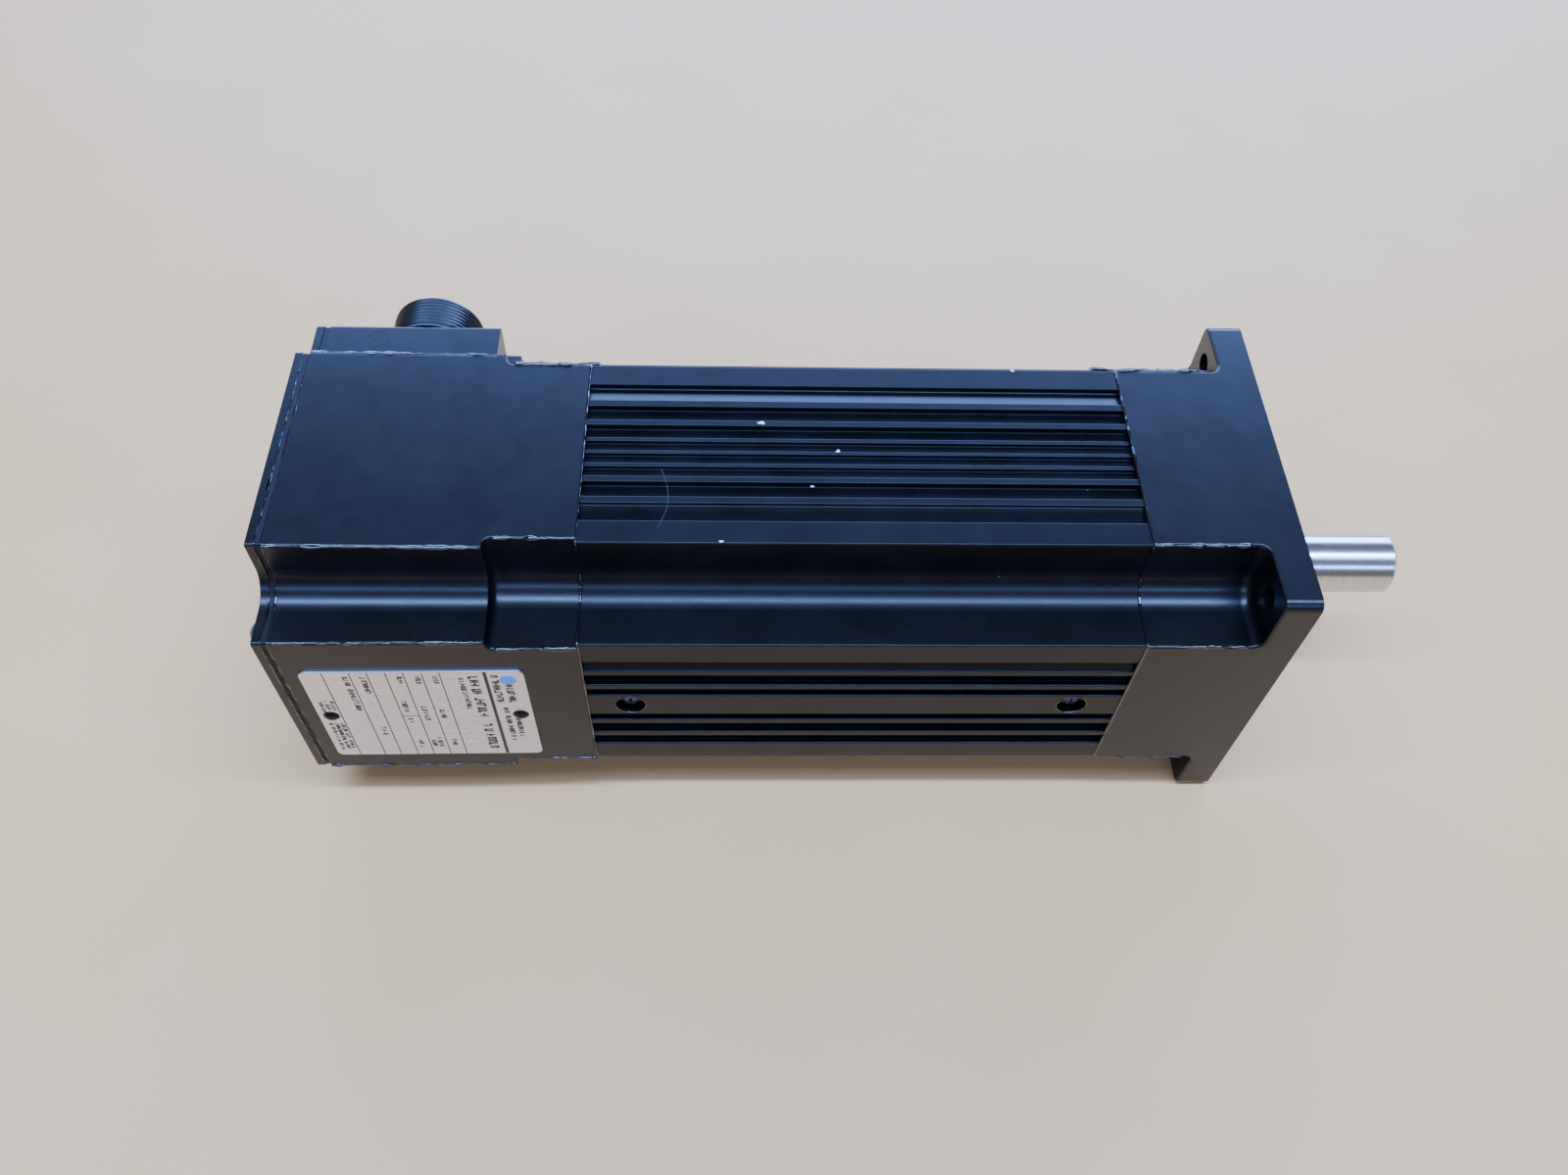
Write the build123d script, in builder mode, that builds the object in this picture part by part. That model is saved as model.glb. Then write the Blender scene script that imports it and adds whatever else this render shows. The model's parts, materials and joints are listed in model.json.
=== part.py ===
from build123d import *
import os
from math import cos, radians, sin

# Brushless servomotor on a NEMA 42 flange, lying on its side.
# Frame: origin on the shaft axis at the flange's front face, +X out along the shaft, +Z up.
# All sizes are in millimetres.

# --- flange and front housing -------------------------------------------------------------
flange_side = 106.7
flange_thick = 10.4
flange_corner_r = 3.0
bolt_circle = 125.73
bolt_hole_d = 7.14
pilot_d = 55.52
pilot_high = 2.3
front_depth = 42.5
notch_wall = 32.9
notch_r = 8.2
notch_end_r = 3.0
step_end_r = 2.4
step_edge_r = 0.6
paint_edge_r = 0.8

# --- finned tube --------------------------------------------------------------------------
tube_length = 158.4
tube_side = 106.1
tube_bore_r = 46.0
tube_notch_wall = 33.0
fin_depth = 1.9
wide_groove_depth = 0.9
fin_centre_drop = 0.8
fin_edge_r = 0.35
groove_floor_r = 0.45
top_grooves = [(0.65, 3.95), (5.45, 9.4), (11.6, 16.7), (19.2, 25.2)]
side_grooves = [(5.5, 9.0), (11.3, 16.8), (19.0, 24.0)]
tube_screw_insets = (14.5, 12.8)
screw_tap_r = 2.3
tube_edge_r = 0.5

# --- rear housing, gasket and cover ---------------------------------------------------------
rear_length = 82.6
rear_side_front = 107.7
rear_side_back = 109.4
rear_notch_wall = 35.7
step_length = 24.6
step_notch_wall = 32.2
cavity_wall = 4.2
bulkhead_thick = 27.6
gasket_thick = 1.9
cover_thick = 2.3
cover_screw_near = 31.5
cover_screw_far = 48.5

# --- connector pad and connectors -----------------------------------------------------------
pad_face = 57.0
pad_top = 45.0
pad_bottom = -26.0
pad_front_x = -231.0
pad_root = 30.0
pad_edge_r = 1.2
connector_x = -254.0
power_z = 30.7
feedback_z = -7.5
thread_r = 14.29
thread_pitch = 1.411
thread_turns = 7
shell_reach = 13.2
socket_r = 11.7
shell_stem_r = 12.7

# --- shaft, bearings and electrical parts -----------------------------------------------------
shaft_r = 9.525
shaft_out = 53.6
seal_journal_r = 10.5
front_journal_r = 12.5
rear_journal_r = 8.5
resolver_seat_r = 7.0
core_seat_r = 15.0
stack_length = 100.0
stator_slots = 24
magnet_count = 8
ball_gap = 0.12
fit_gap = 0.05

# --- places worked out along the shaft axis ---------------------------------------------------
flange_half = flange_side / 2
tube_front_x = -front_depth
tube_rear_x = tube_front_x - tube_length
step_x = tube_rear_x - step_length
cast_rear_x = tube_rear_x - rear_length
gasket_rear_x = cast_rear_x - gasket_thick
cover_rear_x = gasket_rear_x - cover_thick
stack_front_x = (tube_front_x + tube_rear_x + stack_length) / 2
stack_rear_x = stack_front_x - stack_length
bolt_place = bolt_circle / 2 * sin(radians(45))
draft = (rear_side_back - rear_side_front) / 2 / rear_length

os.makedirs("parts", exist_ok=True)


def station(x):
    """Sketch plane square to the shaft: local x is +Y, local y is +Z, drawn at this x."""
    return Plane.YZ.offset(x)


def save(builder, name):
    """Label a finished piece and write it as its own STEP file."""
    builder.part.label = name
    export_step(builder.part, f"parts/{name}.step")


def turned(points):
    """A piece turned about the shaft axis, from its outline of (x, radius) points."""
    with BuildPart() as piece:
        with BuildSketch(Plane.XY):
            with BuildLine():
                Polyline(*points, close=True)
            make_face()
        revolve(axis=Axis.X)
    return piece


def ring(x_from, x_to, r_in, r_out):
    """A plain ring between two places on the shaft axis."""
    return turned([(x_from, r_in), (x_to, r_in), (x_to, r_out), (x_from, r_out)])


def notched_outline(top, side, bottom, wall, inner_r, edge_r):
    """A square outline with a square notch, rounded inside, taken out of each corner."""
    with BuildSketch() as outline:
        with BuildLine():
            Polyline(
                (side, wall), (wall, wall), (wall, top), (-wall, top), (-wall, wall), (-side, wall),
                (-side, -wall), (-wall, -wall), (-wall, -bottom), (wall, -bottom), (wall, -wall),
                (side, -wall), close=True,
            )
        make_face()
        corners = outline.vertices()
        fillet(corners.filter_by(lambda v: abs(abs(v.X) - abs(v.Y)) < 0.01), inner_r)
        corners = outline.vertices()
        tips = corners.filter_by(lambda v: max(abs(v.X) - side, v.Y - top, -v.Y - bottom) > -0.01)
        fillet(tips, edge_r)
    return outline.sketch


def corner_cutter(x_from, x_to, wall, end_side, end_r):
    """The space of one corner notch, with its blind end rounded into the wall behind it."""
    far = flange_side
    with BuildPart() as cutter:
        with BuildSketch(station(x_from)) as face:
            with Locations((far, far)):
                Rectangle(far - wall, far - wall, align=(Align.MAX, Align.MAX))
            inner = face.vertices().sort_by(lambda v: v.X + v.Y)[0]
            fillet(inner, notch_r)
        extrude(amount=x_to - x_from)
        end = cutter.faces().sort_by(Axis.X)[-1 if end_side > 0 else 0]
        rim = end.edges().filter_by(lambda e: max(e.center().Y, e.center().Z) < far - 0.01)
        fillet(rim, end_r)
    return cutter.part


def rear_half(x):
    """Half the width of the rear casting at this x: it grows slightly towards the cover."""
    return rear_side_front / 2 + (tube_rear_x - x) * draft


def rear_outline(x, wall=rear_notch_wall, inset=0.0):
    """The rear casting's outline at this x: its underside stays level with the flange."""
    half = rear_half(x) - inset
    return notched_outline(half, half, flange_half - inset, wall - inset, notch_r, paint_edge_r)


def pad_outline(inset=0.0):
    """The connector pad seen from the rear: it fills the corner at +Y +Z and stands off the side."""
    with BuildSketch() as outline:
        with BuildLine():
            Polyline(
                (pad_root, pad_bottom + inset), (pad_face - inset, pad_bottom + inset),
                (pad_face - inset, pad_top - inset), (pad_root, pad_top - inset), close=True,
            )
        make_face()
        fillet(outline.vertices().filter_by(lambda v: v.X > pad_root + 1), pad_edge_r)
    return outline.sketch


# Four places round the rear face, each a quarter turn from the last.
cover_screw_places = [
    (cover_screw_near, cover_screw_far), (cover_screw_far, -cover_screw_near),
    (-cover_screw_near, -cover_screw_far), (-cover_screw_far, cover_screw_near),
]
connector_places = [(connector_x, power_z), (connector_x, feedback_z)]
tube_screw_xs = [tube_front_x - tube_screw_insets[0], tube_rear_x + tube_screw_insets[1]]


# ==========================================================================================
# Front housing: flange, pilot, corner pockets for the bolts, bearing seat and spigot
# ==========================================================================================
spigot_length = 20.0
spigot_in_r = 42.0
bearing1_front_x = -12.0
bearing1_width = 15.0
bearing1_r = 26.0
seal_r = 17.5
seal_back_x = -8.5
retainer_x = bearing1_front_x - bearing1_width - 0.15
retainer_thick = 1.5
front_cavity_x = -37.0
pilot_chamfer = 0.4
retainer_groove_deep = 1.6
seal_shoulder = 2.5
retainer_back_x = retainer_x - retainer_thick - 0.1
pocket_cutter = corner_cutter(tube_front_x - 1, -flange_thick, notch_wall, 1, notch_end_r)


def is_pocket_rim(edge):
    """Whether an edge lies round a corner pocket's mouth, on an outer face or on the flange's back."""
    middle = edge.center()
    if not tube_front_x + 0.1 < middle.X < -flange_thick + 0.1:
        return False
    on_outside = max(abs(middle.Y), abs(middle.Z)) > flange_half - 0.01
    on_flange_back = abs(middle.X + flange_thick) < 0.01 and abs(middle.Y) + abs(middle.Z) > 100
    return on_outside or on_flange_back


with BuildPart() as front_housing:
    with BuildSketch(station(tube_front_x)):
        RectangleRounded(flange_side, flange_side, flange_corner_r)
    extrude(amount=front_depth)
    for turn in range(4):
        add(pocket_cutter, rotation=(90 * turn, 0, 0), mode=Mode.SUBTRACT)
    fillet(front_housing.edges().filter_by(is_pocket_rim), paint_edge_r)
    with BuildSketch(station(0)):
        Circle(pilot_d / 2)
    extrude(amount=pilot_high)
    chamfer(front_housing.edges().filter_by(GeomType.CIRCLE).sort_by(Axis.X)[-1], pilot_chamfer)
    with BuildSketch(station(tube_front_x)):
        Circle(tube_bore_r - fit_gap)
    extrude(amount=-spigot_length)
    # spigot bore, bearing seat, retaining-ring groove, shoulder and seal seat
    with BuildSketch(Plane.XY):
        with BuildLine():
            Polyline(
                (tube_front_x - spigot_length - 1, 0), (tube_front_x - spigot_length - 1, spigot_in_r),
                (front_cavity_x, spigot_in_r), (front_cavity_x, bearing1_r),
                (retainer_back_x, bearing1_r), (retainer_back_x, bearing1_r + retainer_groove_deep),
                (retainer_x + 0.1, bearing1_r + retainer_groove_deep), (retainer_x + 0.1, bearing1_r),
                (bearing1_front_x, bearing1_r), (bearing1_front_x, front_journal_r + seal_shoulder),
                (seal_back_x, front_journal_r + seal_shoulder), (seal_back_x, seal_r),
                (pilot_high + 1, seal_r), (pilot_high + 1, 0), close=True,
            )
        make_face()
    revolve(axis=Axis.X, mode=Mode.SUBTRACT)
    with BuildSketch(station(-flange_thick - 1)):
        with GridLocations(2 * bolt_place, 2 * bolt_place, 2, 2):
            Circle(bolt_hole_d / 2)
    extrude(amount=flange_thick + 2, mode=Mode.SUBTRACT)
    with Locations((tube_screw_xs[0], 0, 0)):
        Cylinder(screw_tap_r, flange_side, rotation=(90, 0, 0), mode=Mode.SUBTRACT)
save(front_housing, "front_housing")

# ==========================================================================================
# Stator housing: the finned tube between the two castings
# ==========================================================================================
screw_recess_r = 4.5
screw_recess_depth = 3.6
screw_hole_r = 2.8
widest_groove_from = 20
fin_zone = 26
wall_reach = 20
tube_half = tube_side / 2


def groove(near, far, near_depth, far_depth):
    """One groove between two fins, drawn in the top face, with a floor that may slope."""
    with BuildSketch() as cut:
        with BuildLine():
            Polyline(
                (near, tube_half + 1), (near, tube_half - near_depth),
                (far, tube_half - far_depth), (far, tube_half + 1), close=True,
            )
        make_face()
    return cut.sketch


def fin_spot(vertex):
    """How far a corner of the tube's outline lies under the outer face, and how far from its middle."""
    across, along = abs(vertex.X), abs(vertex.Y)
    return tube_half - max(across, along), min(across, along)


def is_fin_tip(vertex):
    """Whether a corner of the tube's outline is the edge of a fin or of a land beside a groove."""
    drop, offset = fin_spot(vertex)
    return drop < fin_centre_drop + 0.05 and offset < fin_zone


def is_groove_root(vertex):
    """Whether a corner of the tube's outline lies at the foot of a groove's wall."""
    drop, offset = fin_spot(vertex)
    return fin_centre_drop + 0.05 < drop < fin_depth + 0.1 and offset < fin_zone


low_fins = groove(-top_grooves[1][1], top_grooves[1][1], fin_centre_drop, fin_centre_drop)

with BuildPart() as stator_housing:
    with BuildSketch(station(tube_rear_x)) as tube_sketch:
        add(notched_outline(tube_half, tube_half, tube_half, tube_notch_wall, notch_r, tube_edge_r))
        Circle(tube_bore_r, mode=Mode.SUBTRACT)
        for face_turn, grooves in zip((0, 90, 180, 270), (top_grooves, side_grooves) * 2):
            for near, far in grooves:
                near_depth = wide_groove_depth if far > widest_groove_from else fin_depth
                add(groove(near, far, near_depth, fin_depth), rotation=face_turn, mode=Mode.SUBTRACT)
                add(groove(-near, -far, near_depth, fin_depth), rotation=face_turn, mode=Mode.SUBTRACT)
        for face_turn in (0, 180):
            add(low_fins, rotation=face_turn, mode=Mode.SUBTRACT)
        fillet(tube_sketch.vertices().filter_by(is_fin_tip), fin_edge_r)
        fillet(tube_sketch.vertices().filter_by(is_groove_root), groove_floor_r)
    extrude(amount=tube_length)
    for side in (-1, 1):
        for screw_x in tube_screw_xs:
            with Locations((screw_x, side * tube_half, 0)):
                Cylinder(screw_recess_r, 2 * screw_recess_depth, rotation=(90, 0, 0), mode=Mode.SUBTRACT)
                Cylinder(screw_hole_r, wall_reach, rotation=(90, 0, 0), mode=Mode.SUBTRACT)
save(stator_housing, "stator_housing")

# ==========================================================================================
# Rear housing: bulkhead with the rear bearing seat, feedback cavity and connector pad
# ==========================================================================================
bearing2_width = 12.0
bearing2_r = 20.0
bearing2_rear_x = tube_rear_x - 15.1
spring_room = 2.4
spring_x = bearing2_rear_x - spring_room
bulkhead_x = tube_rear_x - bulkhead_thick
cavity_half = 50.0
boss_r = 5.2
cover_tap_r = 1.6
resolver_r = 26.0
resolver_screw_pcd = 60.0
resolver_tap_r = 1.3
resolver_tap_deep = 8.0
cover_tap_deep = 12.0
journal_hole_gap = 3.0
cavity_corner_r = 2.0
lead_hole = (24.0, 28.0)
lead_hole_r = 5.0
step_cutter = corner_cutter(tube_rear_x + 1, step_x, step_notch_wall, -1, step_end_r)


def cavity_outline():
    """The hollow behind the bulkhead, with a boss left standing round each cover screw."""
    wall = rear_notch_wall - cavity_wall
    with BuildSketch() as outline:
        add(notched_outline(cavity_half, cavity_half, cavity_half - 1, wall, notch_r, cavity_corner_r))
        for place in cover_screw_places:
            with Locations(place):
                Circle(boss_r, mode=Mode.SUBTRACT)
    return outline.sketch


def pad_room_outline():
    """The hollow inside the connector pad."""
    with BuildSketch() as outline:
        with Locations((cavity_half, (pad_top + pad_bottom) / 2)):
            Rectangle(wall_reach, pad_top - pad_bottom - 2 * cavity_wall, align=(Align.MAX, Align.CENTER))
    return outline.sketch


def is_step_rim(edge):
    """Whether an edge lies round the mouth of the deeper notch at the casting's front end."""
    middle = edge.center()
    on_outside = max(abs(middle.Y), abs(middle.Z)) > rear_half(middle.X) - 1
    return on_outside and step_x + 0.05 < middle.X < tube_rear_x - 0.1


hollow = cavity_outline()
pad_room = pad_room_outline()
with BuildPart() as rear_housing:
    with BuildSketch(station(tube_rear_x)):
        add(rear_outline(tube_rear_x))
    with BuildSketch(station(cast_rear_x)):
        add(rear_outline(cast_rear_x))
    loft(ruled=True)
    for turn in range(4):
        add(step_cutter, rotation=(90 * turn, 0, 0), mode=Mode.SUBTRACT)
    fillet(rear_housing.edges().filter_by(is_step_rim), step_edge_r)
    with BuildSketch(station(cast_rear_x)):
        add(pad_outline())
    extrude(amount=pad_front_x - cast_rear_x)
    with BuildSketch(station(tube_rear_x)):
        Circle(tube_bore_r - fit_gap)
    extrude(amount=spigot_length)
    with BuildSketch(station(cast_rear_x)):
        add(hollow)
    extrude(amount=bulkhead_x - cast_rear_x, mode=Mode.SUBTRACT)
    with BuildSketch(station(cast_rear_x)):
        add(pad_room)
    extrude(amount=pad_front_x - cavity_wall - cast_rear_x, mode=Mode.SUBTRACT)
    # spigot bore, rear bearing seat and the hole the shaft's tail runs through
    with BuildSketch(Plane.XY):
        with BuildLine():
            Polyline(
                (tube_rear_x + spigot_length + 1, 0), (tube_rear_x + spigot_length + 1, spigot_in_r),
                (tube_rear_x, spigot_in_r), (tube_rear_x, bearing2_r),
                (spring_x, bearing2_r), (spring_x, rear_journal_r + journal_hole_gap),
                (bulkhead_x - 1, rear_journal_r + journal_hole_gap), (bulkhead_x - 1, 0), close=True,
            )
        make_face()
    revolve(axis=Axis.X, mode=Mode.SUBTRACT)
    for place in connector_places:
        with Locations((place[0], pad_face, place[1])):
            Cylinder(shell_stem_r + fit_gap, wall_reach, rotation=(90, 0, 0), mode=Mode.SUBTRACT)
    with BuildSketch(station(cast_rear_x)):
        with Locations(*cover_screw_places):
            Circle(cover_tap_r)
    extrude(amount=cover_tap_deep, mode=Mode.SUBTRACT)
    with BuildSketch(station(bulkhead_x)):
        with PolarLocations(resolver_screw_pcd / 2, 3, start_angle=90):
            Circle(resolver_tap_r)
    extrude(amount=resolver_tap_deep, mode=Mode.SUBTRACT)
    with BuildSketch(station(bulkhead_x - 1)):
        with Locations(lead_hole):
            Circle(lead_hole_r)
    extrude(amount=bulkhead_thick + 2, mode=Mode.SUBTRACT)
    with Locations((tube_screw_xs[1], 0, 0)):
        Cylinder(screw_tap_r, flange_side, rotation=(90, 0, 0), mode=Mode.SUBTRACT)
save(rear_housing, "rear_housing")

# ==========================================================================================
# Rear gasket, cover and its screws
# ==========================================================================================
gasket_inset = 0.25
pan_head_r = 3.5
pan_head_high = 2.3
pan_shank_r = 1.55
pan_shank_length = 11.0


def cover_plate(x_from, thick, inset):
    """A plate over the whole rear end, pad included, with a hole for each cover screw."""
    with BuildPart() as plate:
        with BuildSketch(station(x_from)):
            add(rear_outline(cast_rear_x, inset=inset))
            add(pad_outline(inset))
            with Locations(*cover_screw_places):
                Circle(pan_shank_r + 0.2, mode=Mode.SUBTRACT)
        extrude(amount=thick)
    return plate


with BuildPart() as rear_gasket:
    add(cover_plate(gasket_rear_x, gasket_thick, gasket_inset).part)
    with BuildSketch(station(gasket_rear_x)):
        add(hollow)
        add(pad_room)
    extrude(amount=gasket_thick, mode=Mode.SUBTRACT)
save(rear_gasket, "rear_gasket")

rear_cover = cover_plate(cover_rear_x, cover_thick, 0)
save(rear_cover, "rear_cover")


def cross_screw(head_r, head_high, shank_r, shank_length):
    """A domed cross-recess screw along +Z: underside of the head at z = 0, shank downwards."""
    dome_r = (head_r**2 + head_high**2) / (2 * head_high)
    with BuildPart() as screw:
        with BuildSketch(Plane.XZ):
            with BuildLine():
                Line((0, head_high), (0, -shank_length))
                Line((0, -shank_length), (shank_r, -shank_length))
                Line((shank_r, -shank_length), (shank_r, 0))
                Line((shank_r, 0), (head_r, 0))
                RadiusArc((head_r, 0), (0, head_high), -dome_r)
            make_face()
        revolve(axis=Axis.Z)
        with BuildSketch(Plane.XY.offset(head_high + 0.1)):
            Rectangle(head_r * 1.05, head_r * 0.26)
            Rectangle(head_r * 0.26, head_r * 1.05)
        extrude(amount=-head_high * 0.75, taper=12, mode=Mode.SUBTRACT)
    return screw.part


cover_screw = cross_screw(pan_head_r, pan_head_high, pan_shank_r, pan_shank_length)
with BuildPart() as rear_cover_screws:
    for y, z in cover_screw_places:
        with Locations(Location((cover_rear_x, y, z), (0, -90, 0))):
            add(cover_screw)
save(rear_cover_screws, "rear_cover_screws")

tube_screw_head_r = 3.65
tube_screw_head_high = 2.6
tube_screw_shank = 7.5
tube_screw = cross_screw(tube_screw_head_r, tube_screw_head_high, screw_tap_r - fit_gap, tube_screw_shank)
with BuildPart() as housing_screws:
    for side in (-1, 1):
        for screw_x in tube_screw_xs:
            place = (screw_x, side * (tube_half - screw_recess_depth), 0)
            with Locations(Location(place, (-90 * side, 0, 0))):
                add(tube_screw)
save(housing_screws, "housing_screws")

# ==========================================================================================
# Name plate and its drive rivets, on the rear housing's -Y side
# ==========================================================================================
plate_length = 62.3
plate_high = 48.8
plate_thick = 0.5
plate_mid_x = -248.0
plate_mid_z = -3.0
rivet_inset = 3.6
rivet_head_r = 2.4
rivet_head_high = 1.1
rivet_shank_r = 1.2
plate_corner_r = 2.0
plate_plane = Plane(
    origin=(plate_mid_x, -rear_half(plate_mid_x), plate_mid_z),
    x_dir=(1, draft, 0),
    z_dir=(draft, -1, 0),
)

with BuildPart() as name_plate:
    with BuildSketch(plate_plane):
        RectangleRounded(plate_length, plate_high, plate_corner_r)
        with GridLocations(plate_length - 2 * rivet_inset, 0, 2, 1):
            Circle(rivet_shank_r + 0.1, mode=Mode.SUBTRACT)
    extrude(amount=plate_thick)
save(name_plate, "name_plate")

rivet_dome_r = (rivet_head_r**2 + rivet_head_high**2) / (2 * rivet_head_high)
with BuildPart() as rivet:
    with BuildSketch(Plane.XZ):
        with BuildLine():
            Line((0, rivet_head_high), (0, -plate_thick))
            Line((0, -plate_thick), (rivet_shank_r, -plate_thick))
            Line((rivet_shank_r, -plate_thick), (rivet_shank_r, 0))
            Line((rivet_shank_r, 0), (rivet_head_r, 0))
            RadiusArc((rivet_head_r, 0), (0, rivet_head_high), -rivet_dome_r)
        make_face()
    revolve(axis=Axis.Z)

with BuildPart() as name_plate_rivets:
    for rivet_x in (-plate_length / 2 + rivet_inset, plate_length / 2 - rivet_inset):
        with Locations(plate_plane * Location((rivet_x, 0, plate_thick))):
            add(rivet.part)
save(name_plate_rivets, "name_plate_rivets")

# ==========================================================================================
# Stator: laminated core, slot windings, slot wedges and end turns
# ==========================================================================================
stator_in_r = 27.5
slot_in_r = 29.6
slot_out_r = 39.5
slot_in_width = 4.4
slot_out_width = 6.6
slot_mouth = 2.4
wedge_thick = 0.9
slot_step = 360 / stator_slots
slot_liner = 0.3


def slot_shape(r_from, r_to, inset):
    """One tapered slot, drawn pointing along +X of the sketch."""
    with BuildSketch() as shape:
        with BuildLine():
            Polyline(
                (r_from, slot_in_width / 2 - inset), (r_to, slot_out_width / 2 - inset),
                (r_to, -slot_out_width / 2 + inset), (r_from, -slot_in_width / 2 + inset), close=True,
            )
        make_face()
    return shape.sketch


open_slot = slot_shape(slot_in_r, slot_out_r, 0)
wound_slot = slot_shape(slot_in_r + wedge_thick + 0.1, slot_out_r - slot_liner, slot_liner)
with BuildPart() as stator_core:
    with BuildSketch(station(stack_rear_x)):
        Circle(tube_bore_r - fit_gap)
        Circle(stator_in_r, mode=Mode.SUBTRACT)
        for slot in range(stator_slots):
            add(open_slot, rotation=slot * slot_step, mode=Mode.SUBTRACT)
        with PolarLocations(slot_in_r - 1.2, stator_slots):
            Rectangle(4, slot_mouth, mode=Mode.SUBTRACT)
    extrude(amount=stack_length)
save(stator_core, "stator_core")

with BuildPart() as stator_windings:
    with BuildSketch(station(stack_rear_x)):
        for slot in range(stator_slots):
            add(wound_slot, rotation=slot * slot_step)
    extrude(amount=stack_length)
save(stator_windings, "stator_windings")

with BuildPart() as slot_wedges:
    with BuildSketch(station(stack_rear_x)):
        with PolarLocations(slot_in_r + wedge_thick / 2, stator_slots):
            Rectangle(wedge_thick, slot_in_width - 2 * slot_liner)
    extrude(amount=stack_length)
save(slot_wedges, "slot_wedges")

end_turn_length = 16.0
end_turn_in_r = 30.5
end_turn_out_r = 40.0
end_turn_edge_r = 3.5


def end_turns(x_from, x_to):
    """The ring of coil ends that stands out of one end of the core, with rounded rims."""
    with BuildPart() as coils:
        with BuildSketch(Plane.XY):
            with Locations(((x_from + x_to) / 2, (end_turn_in_r + end_turn_out_r) / 2)):
                RectangleRounded(abs(x_to - x_from), end_turn_out_r - end_turn_in_r, end_turn_edge_r)
        revolve(axis=Axis.X)
    return coils


save(end_turns(stack_front_x, stack_front_x + end_turn_length), "front_end_turns")
save(end_turns(stack_rear_x - end_turn_length, stack_rear_x), "rear_end_turns")

# ==========================================================================================
# Rotor: shaft, core, magnets, sleeve and balance rings
# ==========================================================================================
core_r = 22.4
magnet_out_r = 26.3
sleeve_out_r = 26.8
magnet_arc = 40.0
balance_ring_width = 5.0
balance_ring_out_r = core_r + 2
balance_hole_r = 1.5
balance_hole_deep = 2.0
shaft_chamfer = 1.2
shaft_tail_chamfer = 0.6
journal_shoulder = 2.5
core_seat_extra = 12.0
shaft_tail_x = -253.0
shoulder_x = pilot_high + 0.3
bearing1_shoulder_r = 14.5
bearing1_rear_x = bearing1_front_x - bearing1_width
bearing2_front_x = bearing2_rear_x + bearing2_width
core_seat_rear_x = stack_rear_x - core_seat_extra
core_seat_front_x = stack_front_x + core_seat_extra

with BuildPart() as shaft:
    add(turned([
        (shaft_tail_x, 0), (shaft_tail_x, resolver_seat_r - shaft_tail_chamfer),
        (shaft_tail_x + shaft_tail_chamfer, resolver_seat_r),
        (bulkhead_x + 2, resolver_seat_r), (bulkhead_x + 2, rear_journal_r),
        (bearing2_front_x, rear_journal_r), (bearing2_front_x, rear_journal_r + journal_shoulder),
        (core_seat_rear_x, rear_journal_r + journal_shoulder), (core_seat_rear_x, core_seat_r),
        (core_seat_front_x, core_seat_r), (core_seat_front_x, bearing1_shoulder_r),
        (bearing1_rear_x, bearing1_shoulder_r), (bearing1_rear_x, front_journal_r),
        (bearing1_front_x + 0.5, front_journal_r), (bearing1_front_x + 1.5, seal_journal_r),
        (shoulder_x - seal_journal_r + shaft_r, seal_journal_r), (shoulder_x, shaft_r),
        (shaft_out - shaft_chamfer, shaft_r), (shaft_out, shaft_r - shaft_chamfer), (shaft_out, 0),
    ]).part)
save(shaft, "shaft")

save(ring(stack_rear_x, stack_front_x, core_seat_r + fit_gap, core_r), "rotor_core")


def sector(r_in, r_out, arc):
    """A ring sector centred on the +X side of the sketch."""
    edge = radians(arc / 2)
    corners = [(r * cos(edge), r * sin(edge)) for r in (r_in, r_out)]
    with BuildSketch() as shape:
        with BuildLine():
            ThreePointArc((corners[0][0], -corners[0][1]), (r_in, 0), corners[0])
            Line(corners[0], corners[1])
            ThreePointArc(corners[1], (r_out, 0), (corners[1][0], -corners[1][1]))
            Line((corners[1][0], -corners[1][1]), (corners[0][0], -corners[0][1]))
        make_face()
    return shape.sketch


magnet = sector(core_r + fit_gap, magnet_out_r, magnet_arc)
with BuildPart() as rotor_magnets:
    with BuildSketch(station(stack_rear_x)):
        for pole in range(magnet_count):
            add(magnet, rotation=pole * 360 / magnet_count)
    extrude(amount=stack_length)
save(rotor_magnets, "rotor_magnets")

save(ring(stack_rear_x, stack_front_x, magnet_out_r + fit_gap, sleeve_out_r), "magnet_sleeve")

with BuildPart() as balance_rings:
    for ring_x in (stack_rear_x - balance_ring_width, stack_front_x):
        add(ring(ring_x, ring_x + balance_ring_width, core_seat_r + fit_gap, balance_ring_out_r).part)
    with BuildSketch(station(stack_front_x + balance_ring_width)):
        with PolarLocations(core_r - 2, 3):
            Circle(balance_hole_r)
    extrude(amount=-balance_hole_deep, mode=Mode.SUBTRACT)
save(balance_rings, "balance_rings")

# ==========================================================================================
# Bearings: ball races, balls and cages, with the seal, retaining ring and preload spring
# ==========================================================================================
groove_slack = 0.15
cage_web = 1.0
cage_rim = 1.1
land_step = 0.62
front_ball_r = 3.97
front_ball_count = 9
rear_ball_r = 3.37
rear_ball_count = 8


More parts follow.
